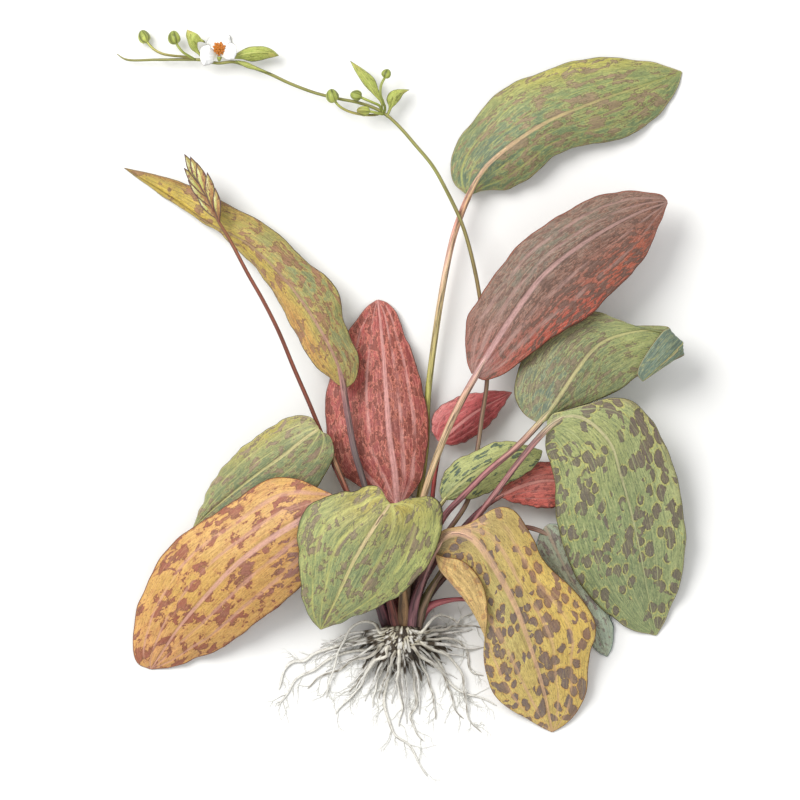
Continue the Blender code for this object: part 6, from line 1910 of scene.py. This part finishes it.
        # old holds the dark brown short roots laid low among the pale ones, which darken the gaps between
        # them.
        old, dark_widths = self._fan(self.OLD, chance)
        pale = blend_stops(self.PALE, t)
        brown = blend_stops(self.BROWN, t)
        waves = np.sin(t * 19 + chance.uniform(0, FULL_TURN, (self.YOUNG.count, 1)))
        dashes = smooth_step(waves, 0.35, 0.6) * smooth_step(t, 0.62, 0.4) * smooth_step(t, 0.04, 0.1)
        pale = mix(pale, paint(self.DASH), dashes[..., None])
        for paths, sizes, colours in ((young, young_widths, pale), (old, dark_widths, brown)):
            growth.add_strand(paths, sizes, sizes * 0.9, 8, self._shade(colours, t, 8), 120.0 + self.number)
        reach = self.BRANCH_REACH
        thin = self._side_roots(path[None], self.BRANCHES, reach, self.THIN_WIDTH, chance)
        wisps = self._side_roots(young, self.BRANCHES, reach, self.WISP_WIDTH, chance)
        hairs = self._side_roots(thin[0], self.BRANCHES * 3, reach * 0.5, self.HAIR_WIDTH, chance)
        for (paths, sizes), sides in ((thin, 6), (wisps, 5), (hairs, 4)):
            growth.add_strand(paths, sizes, sizes, sides, paint(self.HAIR), 90.0 + self.number)
        name = f"root_{self.number}"
        skin = bench.root.material(name + "_skin", {"hollow": self.HOLLOW, "hollow_amount": 0.45})
        growth.settle(name, "grown", [skin], bench.origin)


ROOTS = [
    Root(1, 150, 0, [(-17, 5, 17), (-26, 5.9, 10), (-34, 1, 7), (-38.4, -7, 6), (-42, -16, 4.8),
         (-45.5, -27, 4), (-50, -44, 0.8)]),
    Root(2, 178, -2, [(-17, -4.5, 13), (-26, -5, 7), (-37, -7, 2), (-46, -11, 1.6), (-57, -15, 1.5),
         (-64, -19, 1.4), (-71, -20, 1.3), (-77, -27, 1.2), (-80.5, -38, 0.9)],
         widths=(2.6, 2.4, 2.1, 1.8, 1)),
    Root(3, 160, -7, [(-16, -12, 16), (-23, -17, 9), (-32, -19, 3), (-41, -25, 1.4), (-50, -28.5, 1.3),
         (-56, -31, 1.2), (-61.5, -37.5, 0.8)]),
    Root(4, 140, -9, [(-10, -15, 21), (-17, -19, 15), (-22, -25, 7), (-26, -34, 2), (-31, -41, 1.5),
         (-39, -48, 1.3), (-43, -54.5, 0.8)]),
    Root(5, 100, -11, [(-1.5, -18, 23), (-2.5, -27, 14), (-2.5, -37, 4), (0.3, -47, 1.6), (-2, -62, 0.9)]),
    Root(6, 52, -9, [(11, -15, 22), (19, -20, 15), (26, -27, 6), (31, -38, 1.8), (34.5, -50, 1.4),
         (40, -57, 0.8)]),
    Root(7, 28, -6, [(17, -10, 19), (26, -14, 12), (33, -19, 5), (39, -28, 4), (41, -40, 4),
         (43.5, -56, 1.2), (51.5, -66.5, 0.8)]),
    Root(8, 12, 0, [(19, 0.5, 15), (28, 1.5, 8), (36.5, 3.5, 2.6), (45, 3.5, 1.4), (52.5, 1.8, 0.8)]),
    Root(9, 40, 0, [(17.5, 6, 22.5), (24, 10.5, 13), (32, 9, 7.5), (36, 5.2, 6.2), (40, 9.5, 3),
         (47, 12.5, 1)]),
    Root(10, 0, -4, [(21, -5, 12), (29, -5, 7), (38, -7, 2), (43, -17, 1.4), (45, -26, 1.3),
         (53.5, -29.3, 0.8)]),
    Root(11, 330, -8, [(18, -13, 5), (26, -24, 1.8), (34, -37, 1.4), (50, -43, 1.2), (62, -48.5, 0.8)]),
    Root(12, 285, -12, [(6, -20, 4), (8, -34, 1.6), (9, -49, 1.4), (5.5, -56, 1.3), (9, -65, 1.2),
         (14, -71.5, 0.8)]),
    Root(13, 255, -12, [(-6, -22, 4), (-11, -38, 1.6), (-10.5, -52, 1.5), (-4, -68, 1.3), (4, -74, 1.2),
         (10, -83, 1.1), (16, -95, 0.8)]),
    Root(14, 230, -10, [(-12, -22, 4), (-17, -36, 1.6), (-19.5, -50, 0.8)]),
    Root(15, 310, -11, [(13, -22, 4), (18, -34, 1.6), (21, -46, 1.4), (22, -57.5, 0.8)]),
    Root(16, 205, -6, [(-18, -10.5, 5), (-32, -13, 1.7), (-47, -18, 1.5), (-57, -25, 1.3), (-68, -31, 1.2),
         (-74, -39, 1.1), (-81, -49, 0.8)]),
    Root(17, 215, -9, [(-16, -19, 4), (-27, -30, 1.5), (-34, -40, 0.8)]),
    Root(18, 120, -12, [(-6.5, -18, 20), (-9.5, -27, 10), (-13, -36, 4.6), (-15, -44, 1.2)]),
]


@dataclass(frozen=True)
class Studio:
    """The pale floor, the soft light and the camera that looks straight down."""

    picture_pixels: int = 800
    mm_per_pixel: float = 0.65
    crown_pixel: tuple[float, float] = (402.0, 632.0)
    lens_mm: float = 500.0
    sensor_mm: float = 36.0
    mid_height_mm: float = 25.0
    floor_half_m: float = 30.0
    floor_tints: tuple[Colour, Colour] = ((243, 242, 238), (248, 247, 244))
    sky: float = 0.78
    sky_tint: Colour = (250, 251, 253)
    lamp_watts: float = 55.0
    lamp_size: float = 1.6
    lamp_place: Point = (-1.3, 1.1, 2.0)

    def build(self, origin: Array) -> None:
        """Make the floor, the lights and the camera.

        Args:
            origin: Where the guide points start from, in millimetres.
        """
        self._floor()
        self._lights()
        self._camera(origin)

    @staticmethod
    def _place(name: str, data: bpy.types.ID, spot: Point = (0.0, 0.0, 0.0)) -> bpy.types.Object:
        """Put an object in the scene.

        Args:
            name: Its name.
            data: Its mesh, lamp or lens.
            spot: Where it stands, in metres.

        Returns:
            The object.
        """
        made = bpy.data.objects.new(name, data)
        made.location = spot
        bpy.context.scene.collection.objects.link(made)
        return made

    def _floor(self) -> None:
        """Lay a wide pale floor under the plant, at the row frame's surface."""
        half = self.floor_half_m
        mesh = bpy.data.meshes.new("floor")
        corners = [(-half, -half, 0), (half, -half, 0), (half, half, 0), (-half, half, 0)]
        mesh.from_pydata(corners, [], [(0, 1, 2, 3)])
        made = bpy.data.materials.new("pale_floor")
        made.use_nodes = True
        graph = Graph(made.node_tree)
        shader = made.node_tree.nodes["Principled BSDF"]
        shader.inputs["Roughness"].default_value = 0.9
        shader.inputs["Specular IOR Level"].default_value = 0.1
        cloud = graph.noise(graph.add("TexCoord", {}, "Object"), scale=14.0, detail=3.0)
        pale = graph.tint(cloud, *((*paint(colour), 1.0) for colour in self.floor_tints))
        made.node_tree.links.new(pale.socket, shader.inputs["Base Color"])
        mesh.materials.append(made)
        self._place("floor", mesh)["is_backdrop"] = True

    def _lights(self) -> None:
        """Light the scene from a pale even sky and one large soft lamp at the upper left."""
        world = bpy.data.worlds.new("pale_sky")
        world.use_nodes = True
        sky = world.node_tree.nodes["Background"]
        sky.inputs["Color"].default_value = (*paint(self.sky_tint), 1.0)
        sky.inputs["Strength"].default_value = self.sky
        bpy.context.scene.world = world
        lamp = bpy.data.lights.new("soft_lamp", "AREA")
        lamp.shape = "DISK"
        lamp.size = self.lamp_size
        lamp.energy = self.lamp_watts
        stand = self._place("soft_lamp", lamp, self.lamp_place)
        stand.rotation_euler = stand.location.to_track_quat("Z", "Y").to_euler()
        bpy.context.scene.view_settings.view_transform = "Standard"

    def _camera(self, origin: Array) -> None:
        """Hang the camera over the picture's middle, so far up that its frame fits the picture.

        Args:
            origin: Where the guide points start from, in millimetres.
        """
        half = self.picture_pixels / 2
        across = (half - self.crown_pixel[0]) * self.mm_per_pixel + origin[0]
        up = (self.crown_pixel[1] - half) * self.mm_per_pixel + origin[1]
        frame_mm = self.picture_pixels * self.mm_per_pixel
        height = self.mid_height_mm + frame_mm * self.lens_mm / self.sensor_mm
        lens = bpy.data.cameras.new("camera")
        lens.lens = self.lens_mm
        lens.sensor_width = self.sensor_mm
        lens.clip_start = 0.5
        lens.clip_end = 100.0
        bpy.context.scene.camera = self._place("camera", lens, (across * MM, up * MM, height * MM))


def write_sizes() -> None:
    """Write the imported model's box and the finished plant's box, for comparison."""
    boxes = {"cad": (cad_low, cad_high), "visual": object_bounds()}
    boxes = {key: [list(map(float, corner)) for corner in box] for key, box in boxes.items()}
    LOG.info("cad box %s, visual box %s", boxes["cad"], boxes["visual"])


def main() -> None:
    """Build the plant piece by piece, then the studio."""
    logging.basicConfig(level=logging.INFO, format="%(message)s")
    bench = Bench()
    for piece in [Crown(), *ROOTS, *LEAVES, *STALKS, *BRACTS, *BUDS, *SPIKE, *PETALS, FlowerHeart()]:
        piece.build(bench)
    Studio().build(bench.origin)
    write_sizes()


if __name__ == "__main__":
    main()
